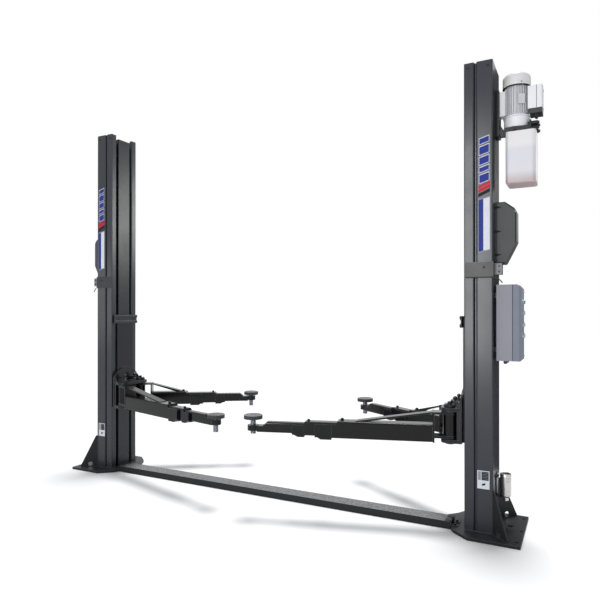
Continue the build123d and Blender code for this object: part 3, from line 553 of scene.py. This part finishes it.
def piece(name, bm, finish, body, crease=38):
    """Object from a bmesh, smooth but for its creases, with its finish, riding on a CAD body."""
    bmesh.ops.recalc_face_normals(bm, faces=bm.faces[:])
    for face in bm.faces:
        face.smooth = True
    for edge in bm.edges:
        edge.smooth = len(edge.link_faces) == 2 and edge.calc_face_angle(pi) < radians(crease)
    mesh = bpy.data.meshes.new(name)
    bm.to_mesh(mesh)
    bm.free()
    mesh.materials.append(finishes[finish])
    obj = bpy.data.objects.new(name, mesh)
    scene.collection.objects.link(obj)
    made[name] = sum(len(p.vertices) - 2 for p in mesh.polygons)
    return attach(obj, body)


print("pieces can be made")

# %% [markdown]
# **Bolts and screws.** A hexagon head is 0.63 as thick as its spanner size, with its corners turned off
# on top, and sits on a washer. Button heads are domed, with a hexagon socket. A turned shape with six
# steps is already a hexagon, so one function makes round and hexagon parts.

# %% Fasteners
def hex_bolt(bm, at, axis, across):
    """Hexagon head on its washer; across is the spanner size."""
    place, r, w = aim(at, axis), across / sqrt(3), across * 0.12
    turned(bm, [(0, 0), (across * 0.66, 0), (across * 0.66, w), (0, w)], place, 32)
    top = w + across * 0.63
    turned(bm, [(0, w), (r * 0.97, w), (r, w + 0.0006), (r, top - across * 0.07), (r * 0.88, top), (0, top)],
           place, 6)


def button_screw(bm, at, axis, across):
    """Domed screw head with a hexagon socket in it."""
    place, r = aim(at, axis), across / 2
    turned(bm, [(0, 0), (r, 0), (r, r * 0.2), (r * 0.9, r * 0.45), (r * 0.6, r * 0.62), (r * 0.42, r * 0.64),
                (r * 0.40, r * 0.2), (0, r * 0.2)], place, 24)


print("a 19 mm head is", round(19 * 0.63, 1), "mm high")

# %% [markdown]
# A weld bead is a turned bar whose radius goes up and down with each ripple. Half of it sinks into the
# steel, so no boolean is needed. A spring is a bar swept along a helix.

# %% Weld bead and spring
def weld(bm, start, end, size=0.006):
    """Ripples of a weld bead along a straight seam."""
    start, end = Vector(start), Vector(end)
    run = end - start
    count = max(6, int(run.length / 0.0045))
    ripple = [(size * (0.56 if k % 2 else 0.46), run.length * k / count) for k in range(count + 1)]
    turned(bm, [(0, 0)] + ripple + [(0, run.length)], aim(start, run), 8)


def coil_spring(bm, at, radius, wire, height, turns):
    """Compression spring that stands on Z."""
    steps = 16 * turns
    path = []
    for k in range(steps + 1):
        turn = 2 * pi * turns * k / steps
        z = at[2] + wire + (height - 2 * wire) * k / steps
        path.append((at[0] + radius * cos(turn), at[1] + radius * sin(turn), z))
    swept(bm, path, wire, 8)


print("beads and springs ready")

# %% [markdown]
# **Weld beads.** The posts and gussets are welded to their base plates all round. A bead is a row of
# overlapping scales about 4 mm long under the paint. A bump map could hint at them, but a real bead
# catches the light from every side. The corner lines come from the CAD boxes, so the beads stay on the
# seams when a size changes.

# %% Weld beads at the feet
both_sides = (("right", 1), ("left", -1))
post_bead, gusset_bead, upright_bead = 0.009, 0.007, 0.006
upright_seam = 0.25         # height of the gusset's seam on the post
gusset_side = 0.004         # from the middle of the gusset sheet to its face
for side, s in both_sides:
    low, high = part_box("column_" + side)
    plate_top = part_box("base_plate_" + side)[1].z
    inner, outer = (low.x, high.x) if s > 0 else (high.x, low.x)
    bm = bmesh.new()
    for y in (low.y, high.y):
        weld(bm, (inner, y, plate_top), (outer - s * 0.005, y, plate_top), post_bead)
    weld(bm, (outer, low.y + 0.005, plate_top), (outer, high.y - 0.005, plate_top), post_bead)
    g_low, g_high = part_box("base_gussets")
    reach = (g_high.x if s > 0 else -g_low.x) - abs(outer)
    for e, y in ((-1, low.y), (1, high.y)):
        for shift in (-gusset_side, gusset_side):
            # The gusset runs out at 45 degrees, so its faces lie 0.7 of the shift along X and along Y.
            a = Vector((outer - s * 0.002 - s * shift * e * 0.7, y - e * 0.002 + shift * 0.7, plate_top))
            weld(bm, a, a + Vector((s * reach * 0.93, e * reach * 0.93, 0)), gusset_bead)
            weld(bm, a + Vector((0, 0, 0.004)), a + Vector((0, 0, upright_seam)), upright_bead)
    piece("foot_welds_" + side, bm, "base_plate_powder_coat", "frame")
print("welds", made)

# %% [markdown]
# **Clips of the floor cover.** Two folded clips at each end, screwed to the base plate, hold the chequer
# plate down. They are painted strips 5 mm thick that step up onto the cover. One profile across X and Z,
# made 32 mm wide, gives this shape without modelling the bends.

# %% Floor cover clips
cover_low, cover_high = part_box("floor_cover")
plate_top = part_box("base_plate_right")[1].z
step = cover_high.z - plate_top
sheet, width = 0.005, 0.032
lap, foot = 0.030, 0.046    # how far a clip reaches over the cover, and out over the base plate
bm, screws = bmesh.new(), bmesh.new()
for s in (-1, 1):
    edge = s * cover_high.x
    for y in (cover_low.y + 0.012, cover_high.y - 0.044):
        profile = [(-lap, step), (0.002, step), (0.002, 0), (foot, 0), (foot, sheet), (0.007, sheet),
                   (0.007, step + sheet), (-lap, step + sheet)]
        # The profile lies in X and Z, so its Y goes up and its thickness runs along Y.
        place = Matrix.Translation((edge, y, plate_top)) @ Matrix(
            ((s, 0, 0, 0), (0, 0, 1, 0), (0, 1, 0, 0), (0, 0, 0, 1)))
        slab(bm, profile, width, place)
        hex_bolt(screws, (edge + s * 0.027, y + width / 2, plate_top + sheet), (0, 0, 1), 0.013)
piece("cover_clips", bm, "base_plate_powder_coat", "frame", 30)
piece("cover_clip_bolts", screws, "blackened_steel", "frame", 30)
print("clips stand", round(step * 1000), "mm high")

# %% [markdown]
# **Stickers.** A long vinyl sticker runs down the outer half of each post's front, printed sheet 0.2 mm
# thick. A picture on the paint would blur in a close view. Here each colour is its own thin layer, so the
# edges stay sharp at any size. The design is plain: pale film, blue bars, slanting stripes and a two tone
# panel.

# %% Printed vinyl
def vinyl(name, colour):
    """Printed film: flat colour with a slight print mottle under a satin laminate."""
    tree, surface, place = start_finish(name, colour, 0.5, IOR=1.46, Specular_IOR_Level=0.15)
    mottle = add(tree, "TexNoise", {"Vector": place, "Scale": 55.0, "Detail": 5.0})
    ripple = add(tree, "TexNoise", {"Vector": place, "Scale": 14.0})
    cloudy(tree, surface, mottle, linear(colour), (0.88, 1.10), (0.42, 0.55), (ripple, 0.1, 0.001))


for name, colour in (("vinyl_pale_film", "#d3d7e0"), ("vinyl_blue", "#2b3787"), ("vinyl_red", "#c02436"),
                     ("vinyl_black", "#17181b"), ("vinyl_grey", "#8b8f98")):
    vinyl(name, colour)


def slanted(x0, x1, low, high, rise):
    """Upright bar between two heights whose ends slope up to the right."""
    return [(x0, low), (x1, low + rise), (x1, high + rise), (x0, high)]


print("5 films")

# %% [markdown]
# The layers are listed from the bottom film up. Each is drawn flat, across and up the post, and one
# matrix stands it on the front face. Layers at the same depth would flicker where they overlap, so those
# above lie 0.15 mm further out.

# %% Stickers on both posts
half, rise = 0.034, 0.030               # half the sticker's width, and the climb of its stripes
sticker_x, sticker_foot = 1.5815, 1.705
film_step = 0.00015
bars = [(0.415, 0.470), (0.480, 0.515), (0.525, 0.575), (0.585, 0.640), (0.650, 0.690)]
layers = [("vinyl_grey", slanted(-half, half, 0.0, 0.324, rise * 0.5)),
          ("vinyl_blue", slanted(-half + 0.002, -0.006, 0.006, 0.318, rise * 0.2)),
          ("vinyl_pale_film", slanted(-0.004, half - 0.002, 0.012, 0.324, rise * 0.25)),
          ("vinyl_black", slanted(-half, half, 0.335, 0.356, rise)),
          ("vinyl_red", slanted(-half, half, 0.362, 0.382, rise)),
          ("vinyl_red", slanted(-half, half, 0.387, 0.402, rise))]
layers += [("vinyl_pale_film", slanted(-half * 0.9, half * 0.9, a, b, rise * 0.6)) for a, b in bars]
top_layer = len(layers)
layers += [("vinyl_blue", slanted(-half * 0.82, half * 0.82, a + 0.004, b - 0.004, rise * 0.55))
           for a, b in bars]
for side, s in both_sides:
    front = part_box("column_" + side)[0].y
    by_film = {}
    for depth, (film, outline) in enumerate(layers):
        shape = by_film.setdefault(film, bmesh.new())
        lift = 0.0002 + film_step * (depth > 0) + film_step * (depth >= top_layer)
        stand = Matrix.Translation((s * sticker_x, front, sticker_foot)) @ Matrix.Rotation(pi / 2, 4, "X")
        slab(shape, outline, lift, stand)
    for film, shape in by_film.items():
        piece("post_sticker_%s_%s" % (side, film[6:]), shape, film, "frame")
print(len(layers), "layers on each post")

# %% [markdown]
# A small plate sits low on each front face: a pale frame, a dark field with fine pale rows, and a white
# field with a plain dark bar. It is made of the same films, because a picture of it would blur in a close
# view.

# %% Small plates at the feet
plate_x, plate_foot = 1.575, 0.281
pale_film, dark_print, grey_print, row_print = 0.0005, 0.0008, 0.0008, 0.0010
for side, s in both_sides:
    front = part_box("column_" + side)[0].y
    shapes = {film: bmesh.new() for film in ("vinyl_pale_film", "vinyl_black", "vinyl_grey")}
    stand = Matrix.Translation((s * plate_x, front, plate_foot)) @ Matrix.Rotation(pi / 2, 4, "X")
    slab(shapes["vinyl_pale_film"], slanted(-0.0355, 0.0355, 0, 0.109, 0), pale_film, stand)
    slab(shapes["vinyl_black"], slanted(-0.010, 0.031, 0.052, 0.104, 0), dark_print, stand)
    slab(shapes["vinyl_black"], slanted(-0.008, 0.012, 0.018, 0.030, 0.006), dark_print, stand)
    slab(shapes["vinyl_grey"], slanted(-0.031, -0.014, 0.052, 0.104, 0), grey_print, stand)
    for row in range(5):
        z = 0.060 + row * 0.009
        slab(shapes["vinyl_grey"], slanted(-0.006, 0.027, z, z + 0.002, 0), row_print, stand)
    for film, shape in shapes.items():
        piece("foot_plate_%s_%s" % (side, film[6:]), shape, film, "frame")
print("2 plates")

# %% [markdown]
# **Threads.** A pad stands on a trapezoidal thread of 4 mm pitch, which sets its height. Blender's screw
# modifier could wind a tooth round the bar, but its inner side is hard to close. So each vertex of a
# plain bar is moved in or out by a wave that depends on its height and, shifted by one pitch per turn, on
# its angle.

# %% Lifting screws
def threaded(bm, at, radius, length, pitch=0.004, depth=0.0016, steps=24):
    """Bar that stands on Z with a helical thread cut into it."""
    rows = int(length / pitch * 8)
    rings = []
    for i in range(rows + 1):
        z = length * i / rows
        ring = []
        for k in range(steps):
            phase = (z / pitch - k / steps) % 1.0
            r = radius - depth * min(1.0, max(0.0, 2 - 4 * abs(phase - 0.5)))
            turn = 2 * pi * k / steps
            ring.append(bm.verts.new(Vector(at) + Vector((r * cos(turn), r * sin(turn), z))))
        rings.append(ring)
    skin_over(bm, rings)


flange, flange_thick = 0.055, 0.004     # steel disc under the rubber of a pad
for end in ends:
    low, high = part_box("pad_screw_" + end)
    middle = (low + high) / 2
    bm = bmesh.new()
    threaded(bm, (middle.x, middle.y, low.z), 0.019, high.z - low.z - 0.005)
    profile = [(0, high.z - flange_thick), (0.0545, high.z - flange_thick), (flange, high.z - 0.003),
               (flange, high.z), (0, high.z)]
    turned(bm, profile, Matrix.Translation((middle.x, middle.y, 0)), 48)
    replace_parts(piece("lifting_screw_" + end, bm, "oiled_steel", "pad_" + end, 45), "pad_screw_" + end)
print("screws stand", round((high.z - low.z) * 1000), "mm high")

# %% [markdown]
# **Height adapter.** It is turned from bar: a wide body with gripping grooves over a narrow spigot, and a
# socket for the lifting screw. Cutting the grooves from a cylinder would take four booleans. One profile
# of radius and height gives the same shape.

# %% Height adapter and its holder
low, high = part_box("height_adapter")
middle = (low + high) / 2
body, groove_floor, spigot, socket = 0.033, 0.0312, 0.017, 0.0196
profile = [(0, low.z), (0.0155, low.z), (spigot, low.z + 0.0015), (spigot, low.z + 0.029),
           (0.030, low.z + 0.029), (body, low.z + 0.032)]
for groove in (0.040, 0.058, 0.120, 0.138):
    z = low.z + groove
    profile += [(body, z), (groove_floor, z + 0.0018), (groove_floor, z + 0.0042), (body, z + 0.006)]
profile += [(body, high.z - 0.004), (0.0315, high.z - 0.001), (0.029, high.z), (0.0208, high.z),
            (socket, high.z - 0.0015), (socket, high.z - 0.036), (0, high.z - 0.036)]
bm = bmesh.new()
turned(bm, profile, Matrix.Translation((middle.x, middle.y, 0)), 64)
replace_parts(piece("turned_height_adapter", bm, "turned_steel", "frame", 30), "height_adapter")
holder_low, holder_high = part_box("adapter_holder")
bm = bmesh.new()
for y in (-0.019, 0.019):
    hex_bolt(bm, (holder_low.x + 0.006, y, holder_high.z - 0.018), (1, 0, 0), 0.010)
piece("holder_bolts", bm, "blackened_steel", "frame", 30)
print("adapter", round((high.z - low.z) * 1000), "mm high")

# %% [markdown]
# **Arms.** Everything on an arm is placed in the arm's own directions: X out along it from the pivot, Z
# up. An empty at each pivot would do that too, but a matrix leaves no helper objects behind. `along_arm`
# makes it from the pivot in the yoke and the middle of the pad.

# %% Directions of an arm
pivot_x, pivot_y = 1.367, 0.1
# From the pivot to the mouth of the outer tube and to that of the middle one.
mouths = {"front_right": (0.850, 1.000), "front_left": (0.850, 0.976),
          "rear_right": (0.550, 0.690), "rear_left": (0.550, 0.740)}
# From the pivot to where the sloping strut comes down on the tube.
strut_ends = {"front": 0.590, "rear": 0.375}


def along_arm(end):
    """Matrix from an arm's own directions to the lift, with the pivot as the origin."""
    low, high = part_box("pad_rubber_" + end)
    side = 1 if end.endswith("right") else -1
    pivot = Vector((side * pivot_x, -pivot_y if end.startswith("front") else pivot_y, 0))
    out = (low + high) / 2 - pivot
    out.z = 0
    out.normalize()
    across = Vector((0, 0, 1)).cross(out)
    turn = Matrix((out, across, (0, 0, 1))).transposed().to_4x4()
    return Matrix.Translation(pivot) @ turn


print("pivots at", [tuple(round(v, 3) for v in along_arm(end).translation) for end in ends])

# %% [markdown]
# **Welds on the arms.** The head plates, the collars at the mouths and the foot of the strut are welded
# to the tubes. Each bead is a real ridge, as on the posts. `arm_weld` takes its ends in the arm's own
# directions, so the same numbers serve all four arms at any angle.

# %% Welds of the arms
tube_top = 0.646                        # height of the outer tube's top face
outer_side, middle_side = 0.0505, 0.0405    # from the middle of a tube to its side face
head_edge, strut_head = 0.107, 0.095    # from the pivot to the head plates' edge and the strut's upper end
strut_half = 0.028


def arm_weld(bm, arm, start, end, bead):
    """Weld bead between two points of an arm."""
    weld(bm, arm @ Vector(start), arm @ Vector(end), bead)


def weld_outer_tube(end, arm):
    """Beads of the head plates, the collar and the strut."""
    collar, strut = mouths[end][0] - 0.111, strut_ends[end.split("_")[0]]
    bm = bmesh.new()
    for y in (-outer_side, outer_side):
        arm_weld(bm, arm, (head_edge, y, 0.548), (head_edge, y, 0.634), 0.005)
        arm_weld(bm, arm, (collar, y * 1.02, 0.538), (collar, y * 1.02, 0.620), 0.0045)
    for y in (-0.030, 0.030):
        arm_weld(bm, arm, (strut - 0.058, y, tube_top), (strut - 0.002, y, tube_top), 0.0045)
    arm_weld(bm, arm, (strut, -strut_half, tube_top), (strut, strut_half, tube_top), 0.0045)
    arm_weld(bm, arm, (strut_head, -0.044, 0.715), (strut_head, 0.044, 0.715), 0.005)
    piece("outer_welds_" + end, bm, "gloss_black_powder_coat", "arm_outer_" + end)


def weld_middle_tube(end, arm):
    """Beads of the middle tube's collar."""
    collar = mouths[end][1] - 0.083
    bm = bmesh.new()
    for y in (-middle_side, middle_side):
        arm_weld(bm, arm, (collar, y * 1.03, 0.546), (collar, y * 1.03, 0.610), 0.004)
    piece("middle_welds_" + end, bm, "gloss_black_powder_coat", "arm_middle_" + end)


print("weld lines ready")

# %% [markdown]
# **Bolts on the arms.** A stop bolt on each tube keeps the next one in. The pivot pin ends in a washer
# and a bolt over the toothed disc, beside a grease nipple. A plain peg would do for a nipple 13 mm tall,
# but its waist is what tells a fitter where the grease gun goes.

# %% Bolts and grease nipples
disc_top = 0.768                        # height of the toothed disc's top face
washer = [(0, 0), (0.023, 0), (0.023, 0.003), (0, 0.003)]
nipple_outline = [(0, 0), (0.004, 0), (0.004, 0.004), (0.0022, 0.005), (0.0022, 0.008), (0.0032, 0.010),
                  (0.0020, 0.013), (0, 0.013)]


def bolt_arm(end, arm):
    """Stop bolts of both tubes, and the washer, bolt and nipple of the pivot."""
    first, second = mouths[end]
    bm, nipple = bmesh.new(), bmesh.new()
    hex_bolt(bm, arm @ Vector((first - 0.175, 0, tube_top)), (0, 0, 1), 0.019)
    gear_top = arm @ Vector((0, 0, disc_top))
    turned(bm, washer, Matrix.Translation(gear_top), 32)
    hex_bolt(bm, gear_top + Vector((0, 0, 0.003)), (0, 0, 1), 0.022)
    piece("outer_bolts_" + end, bm, "blackened_steel", "arm_outer_" + end, 30)
    beside = arm.to_3x3() @ Vector((0.029, 0, 0))
    turned(nipple, nipple_outline, Matrix.Translation(gear_top + beside), 16)
    piece("grease_nipple_" + end, nipple, "oiled_steel", "arm_outer_" + end, 30)
    bm = bmesh.new()
    hex_bolt(bm, arm @ Vector((second - 0.105, 0, 0.6343)), (0, 0, 1), 0.016)
    piece("middle_bolt_" + end, bm, "blackened_steel", "arm_middle_" + end, 30)


for end in ends:
    arm = along_arm(end)
    weld_outer_tube(end, arm)
    weld_middle_tube(end, arm)
    bolt_arm(end, arm)
print("4 arms fitted out")

# %% [markdown]
# **Carriages.** The yoke's plates are welded to the back plate, a spring round each pull pin holds it
# down in the teeth, and two screws hold the rubber bumper. The springs are swept wire, not a texture on a
# tube, because daylight shows between their turns.

# %% Yoke welds, springs and bumper screws
yoke_face, rod_x = 1.436, 1.392         # back plate's face, and the line of the pull pins
bumper_waist = 1.433 + 0.007
for side, s in both_sides:
    bm, springs, screws = bmesh.new(), bmesh.new(), bmesh.new()
    face = s * yoke_face
    for z in (0.752, 0.730, 0.556):
        weld(bm, (face, -0.134, z), (face, 0.134, z), 0.006)
    for y in (-0.141, 0.141):
        weld(bm, (face + s * 0.001, y, 0.560), (face + s * 0.001, y, 0.790), 0.005)
    piece("yoke_welds_" + side, bm, "yoke_powder_coat", "carriage_" + side)
    for y in (-0.058, 0.058):
        coil_spring(springs, (s * rod_x, y, 0.7525), 0.0088, 0.0013, 0.025, 5)
    piece("pin_springs_" + side, springs, "oiled_steel", "carriage_" + side)
    low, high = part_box("bumper_" + side)
    waist = s * bumper_waist
    for y in (-0.085, 0.085):
        button_screw(screws, (waist, y, (low.z + high.z) / 2), (-s, 0, 0), 0.013)
    piece("bumper_screws_" + side, screws, "blackened_steel", "carriage_" + side, 30)
print("2 carriages fitted out")

# %% [markdown]
# ** Posts and hoods.** Bolts close the holes near the top of each post and hold the strip's tabs. The
# latch hoods are screwed on in wedge shaped recesses. A boolean could cut these, but CAD shapes stay as
# they are, so a thin black wedge of painted shade lies on the hood where the recess would be shaded.

# %% Post screws and hood recesses
hood_side, hood_edge = 0.062, 1.634     # side face of a hood, and where it meets the post
hood_screws = (1.985, 1.837, 1.695)
top_holes, tab_x = (1.485, 1.603), 1.472
recess_outline = [(0, -0.008), (0.036, -0.001), (0.036, 0.001), (0, 0.008)]


def post_screws(side, s):
    """Top bolts, the strip's bolts, the band's screw, and the hood's screws on black wedges of painted shade.
    """
    low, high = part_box("column_" + side)
    bm, recess = bmesh.new(), bmesh.new()
    for x in top_holes:
        button_screw(bm, (s * x, low.y, high.z - 0.033), (0, -1, 0), 0.015)
    for y in (-0.077, 0.077):
        hex_bolt(bm, (s * tab_x, y, high.z - 0.050), (-s, 0, 0), 0.010)
    button_screw(bm, (s * 1.580, -0.147, 1.616), (0, -1, 0), 0.014)
    for z in hood_screws:
        for y, face in ((-hood_side, -1), (hood_side, 1)):
            # The wedge narrows away from the post and has its screw at the wide end.
            stand = Matrix(((s, 0, 0, s * hood_edge), (0, 0, face, y), (0, 1, 0, z), (0, 0, 0, 1)))
            # Each wedge is painted shade, a black sheet where the recess would be shaded.
            slab(recess, recess_outline, 0.0006, stand)
            button_screw(bm, (s * 1.640, y + face * 0.0006, z), (0, face, 0), 0.008)
    piece("post_screws_" + side, bm, "blackened_steel", "frame", 30)
    piece("hood_recess_painted_shade_" + side, recess, "painted_shade_black", "frame", 30)


print("post screws ready")

# %% [markdown]
# **Band clamps.** Two bolts through a pale cover plate draw each band round the post's corner, and a
# black strap below has a loose end that curls away. A curve object could draw the strap, but `swept` is
# already there and gives a closed mesh.

# %% Band clamps
clamp_outline = [(1.650, 1.572), (1.681, 1.572), (1.681, 1.637), (1.650, 1.637)]
strap_points = [(1.470, -0.1495, 1.5565), (1.560, -0.1495, 1.556), (1.632, -0.1495, 1.5555),
                (1.648, -0.1400, 1.553), (1.664, -0.1340, 1.543), (1.676, -0.1310, 1.531),
                (1.684, -0.1300, 1.520)]


def band_clamp(side, s):
    """Cover plate with its two bolts, and the strap below."""
    plate, clamp, strap = bmesh.new(), bmesh.new(), bmesh.new()
    stand = Matrix(((s, 0, 0, 0), (0, 0, -1, -0.128), (0, 1, 0, 0), (0, 0, 0, 1)))
    slab(plate, clamp_outline, 0.003, stand)
    for z in (1.588, 1.621):
        hex_bolt(clamp, (s * 1.665, -0.131, z), (0, -1, 0), 0.009)
    swept(strap, [(s * x, y, z) for x, y, z in strap_points], 0.0035, 8)
    piece("clamp_plate_" + side, plate, "pale_grey_paint", "frame", 30)
    piece("clamp_bolts_" + side, clamp, "blackened_steel", "frame", 30)
    piece("band_strap_" + side, strap, "polyamide_black", "frame")


for side, s in both_sides:
    post_screws(side, s)
    band_clamp(side, s)
print("2 posts fitted out")

# %% [markdown]
# **Control box.** The lid closes on a rubber gasket that shows as a dark line, and has four screws. Two
# cable glands, nuts with a domed cap, screw into the underside. The gasket could be a stripe in the
# paint, but four strips that stand 0.2 mm proud stay sharp in a close view.

# %% Gasket, lid screws and glands
low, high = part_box("control_box")
key_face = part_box("control_buttons")[1].x
strip, proud = 0.0028, 0.0002
half_line = 0.0017                      # half the gasket's width along X
gland_x = 1.690
gasket, screws, glands = bmesh.new(), bmesh.new(), bmesh.new()
for y0, y1, z0, z1 in ((low.y, low.y + strip, low.z, high.z), (high.y - strip, high.y, low.z, high.z),
                       (low.y, high.y, low.z, low.z + strip), (low.y, high.y, high.z - strip, high.z)):
    outline = [(seam - half_line, y0 + proud), (seam + half_line, y0 + proud),
               (seam + half_line, y1 - proud), (seam - half_line, y1 - proud)]
    slab(gasket, outline, z1 - z0 - 0.0004, Matrix.Translation((0, 0, z0 + proud)))
for y in (-0.082, 0.082):
    for z in (low.z + 0.022, high.z - 0.040):
        button_screw(screws, (high.x, y, z), (1, 0, 0), 0.010)
nut = [(0, 0), (0.013, 0), (0.013, 0.008), (0, 0.008)]
dome = [(0, 0.008), (0.011, 0.008), (0.011, 0.016), (0.008, 0.021), (0.0035, 0.022), (0, 0.022)]
for y in (-0.045, 0.045):
    turned(glands, nut, aim((gland_x, y, low.z), (0, 0, -1)), 6)
    turned(glands, dome, aim((gland_x, y, low.z), (0, 0, -1)), 32)
piece("lid_gasket", gasket, "moulded_black_rubber", "frame", 30)
piece("lid_screws", screws, "oiled_steel", "frame", 30)
piece("cable_glands", glands, "polyamide_black", "frame", 30)
print("seam at x", seam)

# %% [markdown]
# The keys have coloured caps, green at the top and pale below. Each is a low turned dome on the metal
# body that CAD made, with a rounded rim, since a moulded cap has no sharp edge.

# %% Key caps
# How far each key lies below the top of the box, and its radius.
keys = ((0.103, 0.014), (0.171, 0.013), (0.241, 0.013), (0.309, 0.015))
for k, (drop, r) in enumerate(keys):
    bm = bmesh.new()
    dome = [(0, 0), (r - 0.001, 0), (r - 0.001, 0.003), (r - 0.003, 0.0046), (r * 0.5, 0.0052), (0, 0.0052)]
    turned(bm, dome, aim((key_face, 0, high.z - drop), (1, 0, 0)), 32)
    piece("key_cap_%d" % (k + 1), bm, "green_key_cap" if k == 0 else "pale_key_cap", "frame")
print(len(keys), "keys capped")

# %% [markdown]
# **Power unit.** Screws hold the cowl, the wiring box's lid and the tank's rim, and bolts fix the channel
# to the post. They could be left out at this size, but a row of glints along a rim is what makes a tank
# look closed.

# %% Screws of the power unit
axis_x = 1.752                          # the motor stands on this line, at y 0
cowl_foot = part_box("motor_fan_cover")[0].z
cowl_radius, channel_x = 0.081, 1.637   # the cowl's skin, and the channel's face with the bolts
wiring_low, wiring_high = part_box("motor_terminal_box")
filler_at = (1.848, 0.076)              # the cap stands here, so no screw does
screws = bmesh.new()
for k in range(4):
    a = pi / 4 + k * pi / 2 - 0.35
    at = (axis_x + cowl_radius * cos(a), cowl_radius * sin(a), cowl_foot + 0.012)
    button_screw(screws, at, (cos(a), sin(a), 0), 0.009)
for y in (-0.040, 0.040):
    for z in (2.575, 2.687):
        button_screw(screws, (wiring_high.x, y, z), (1, 0, 0), 0.008)
for x in (1.712, 1.780, 1.848):
    for y in (-0.076, 0.076):
        if (x, y) != filler_at:
            button_screw(screws, (x, y, tank_high.z), (0, 0, 1), 0.009)
for y in (-0.040, 0.040):
    for z in (tank_high.z + 0.012, 2.684):
        hex_bolt(screws, (channel_x, y, z), (1, 0, 0), 0.009)
piece("power_unit_screws", screws, "oiled_steel", "frame", 30)
print("screws have", made["power_unit_screws"], "triangles")

# %% [markdown]
# Air leaves the fan through a slot under the cowl, and a black ring fills it as painted shade. The wiring
# box's lid sits on a dark gasket, over a black cable plate with two glands. All are closed rings and slabs,
# since a line in the paint would vanish from the side.

# %% Painted shade in the cowl slot, wiring box gasket and glands
slot_in, slot_out = 0.072, 0.0816
slot_low, slot_high = cowl_foot - 0.0035, cowl_foot + 0.0005
gap, dark = bmesh.new(), bmesh.new()
# Painted shade: a solid black ring where the open slot would be dark.
turned(gap, [(slot_in, slot_low), (slot_out, slot_low), (slot_out, slot_high), (slot_in, slot_high),
             (slot_in, slot_low)], Matrix.Translation((axis_x, 0, 0)), 64)
bmesh.ops.remove_doubles(gap, verts=gap.verts[:], dist=1e-6)
piece("cowl_slot_painted_shade", gap, "painted_shade_black", "frame", 30)
gland_top, lid_top = wiring_low.z + 0.028, 2.6995
rim, plate_side = 0.0527, 0.0497
slab(dark, [(1.866, -rim), (1.8685, -rim), (1.8685, rim), (1.866, rim)], lid_top - gland_top,
     Matrix.Translation((0, 0, gland_top)))
slab(dark, [(1.8275, -plate_side), (1.8985, -plate_side), (1.8985, plate_side), (1.8275, plate_side)],
     0.0285, Matrix.Translation((0, 0, wiring_low.z - 0.0006)))
gland = [(0, 0), (0.010, 0), (0.010, 0.007), (0.0085, 0.007), (0.0085, 0.014), (0.004, 0.017), (0, 0.017)]
for y in (-0.024, 0.024):
    turned(dark, gland, aim((1.862, y, wiring_low.z), (0, 0, -1)), 24)
piece("wiring_box_gasket_and_glands", dark, "polyamide_black", "frame", 30)
print("slot", round((slot_high - slot_low) * 1000), "mm high")

# %% [markdown]
# **Plate, cap and lever.** A blank rating plate sits on the fins, the breather cap stands on the tank's
# shoulder, and a bent wire lever on the valve lets the lift down. The plate looks outwards along a radius
# of the motor, so its matrix is built from that direction and straight up.

# %% Rating plate, filler cap and lowering lever
plate_turn = radians(-62)
plate_high, plate_out = 2.628, 0.0700   # middle of the plate, and its distance from the motor's axis
out = Vector((cos(plate_turn), sin(plate_turn), 0))
sideways = Vector((-out.y, out.x, 0))
upright = Matrix((sideways, (0, 0, 1), out)).transposed().to_4x4()
stand = Matrix.Translation((axis_x, 0, plate_high)) @ upright
plate, cap, lever = bmesh.new(), bmesh.new(), bmesh.new()
slab(plate, [(-0.021, -0.030), (0.021, -0.030), (0.021, 0.030), (-0.021, 0.030)], 0.0012,
     stand @ Matrix.Translation((0, 0, plate_out)))
piece("blank_rating_plate", plate, "brushed_plate_aluminium", "frame", 30)
cap_outline = [(0, 0), (0.0095, 0), (0.0095, 0.010), (0.0110, 0.010), (0.0110, 0.022), (0.0095, 0.024),
               (0, 0.024)]
turned(cap, cap_outline, Matrix.Translation((1.848, 0.074, tank_high.z)), 24)
piece("filler_cap", cap, "phenolic_knob_black", "frame", 30)
lever_points = [(1.862, -0.050, 2.440), (1.872, -0.064, 2.430), (1.880, -0.074, 2.421),
                (1.886, -0.080, 2.413)]
swept(lever, lever_points, 0.0024, 8)
piece("lowering_lever", lever, "blackened_steel", "frame")
print(len(made), "pieces,", sum(made.values()), "triangles added")

# %% View transform
scene.view_settings.view_transform = "Standard"
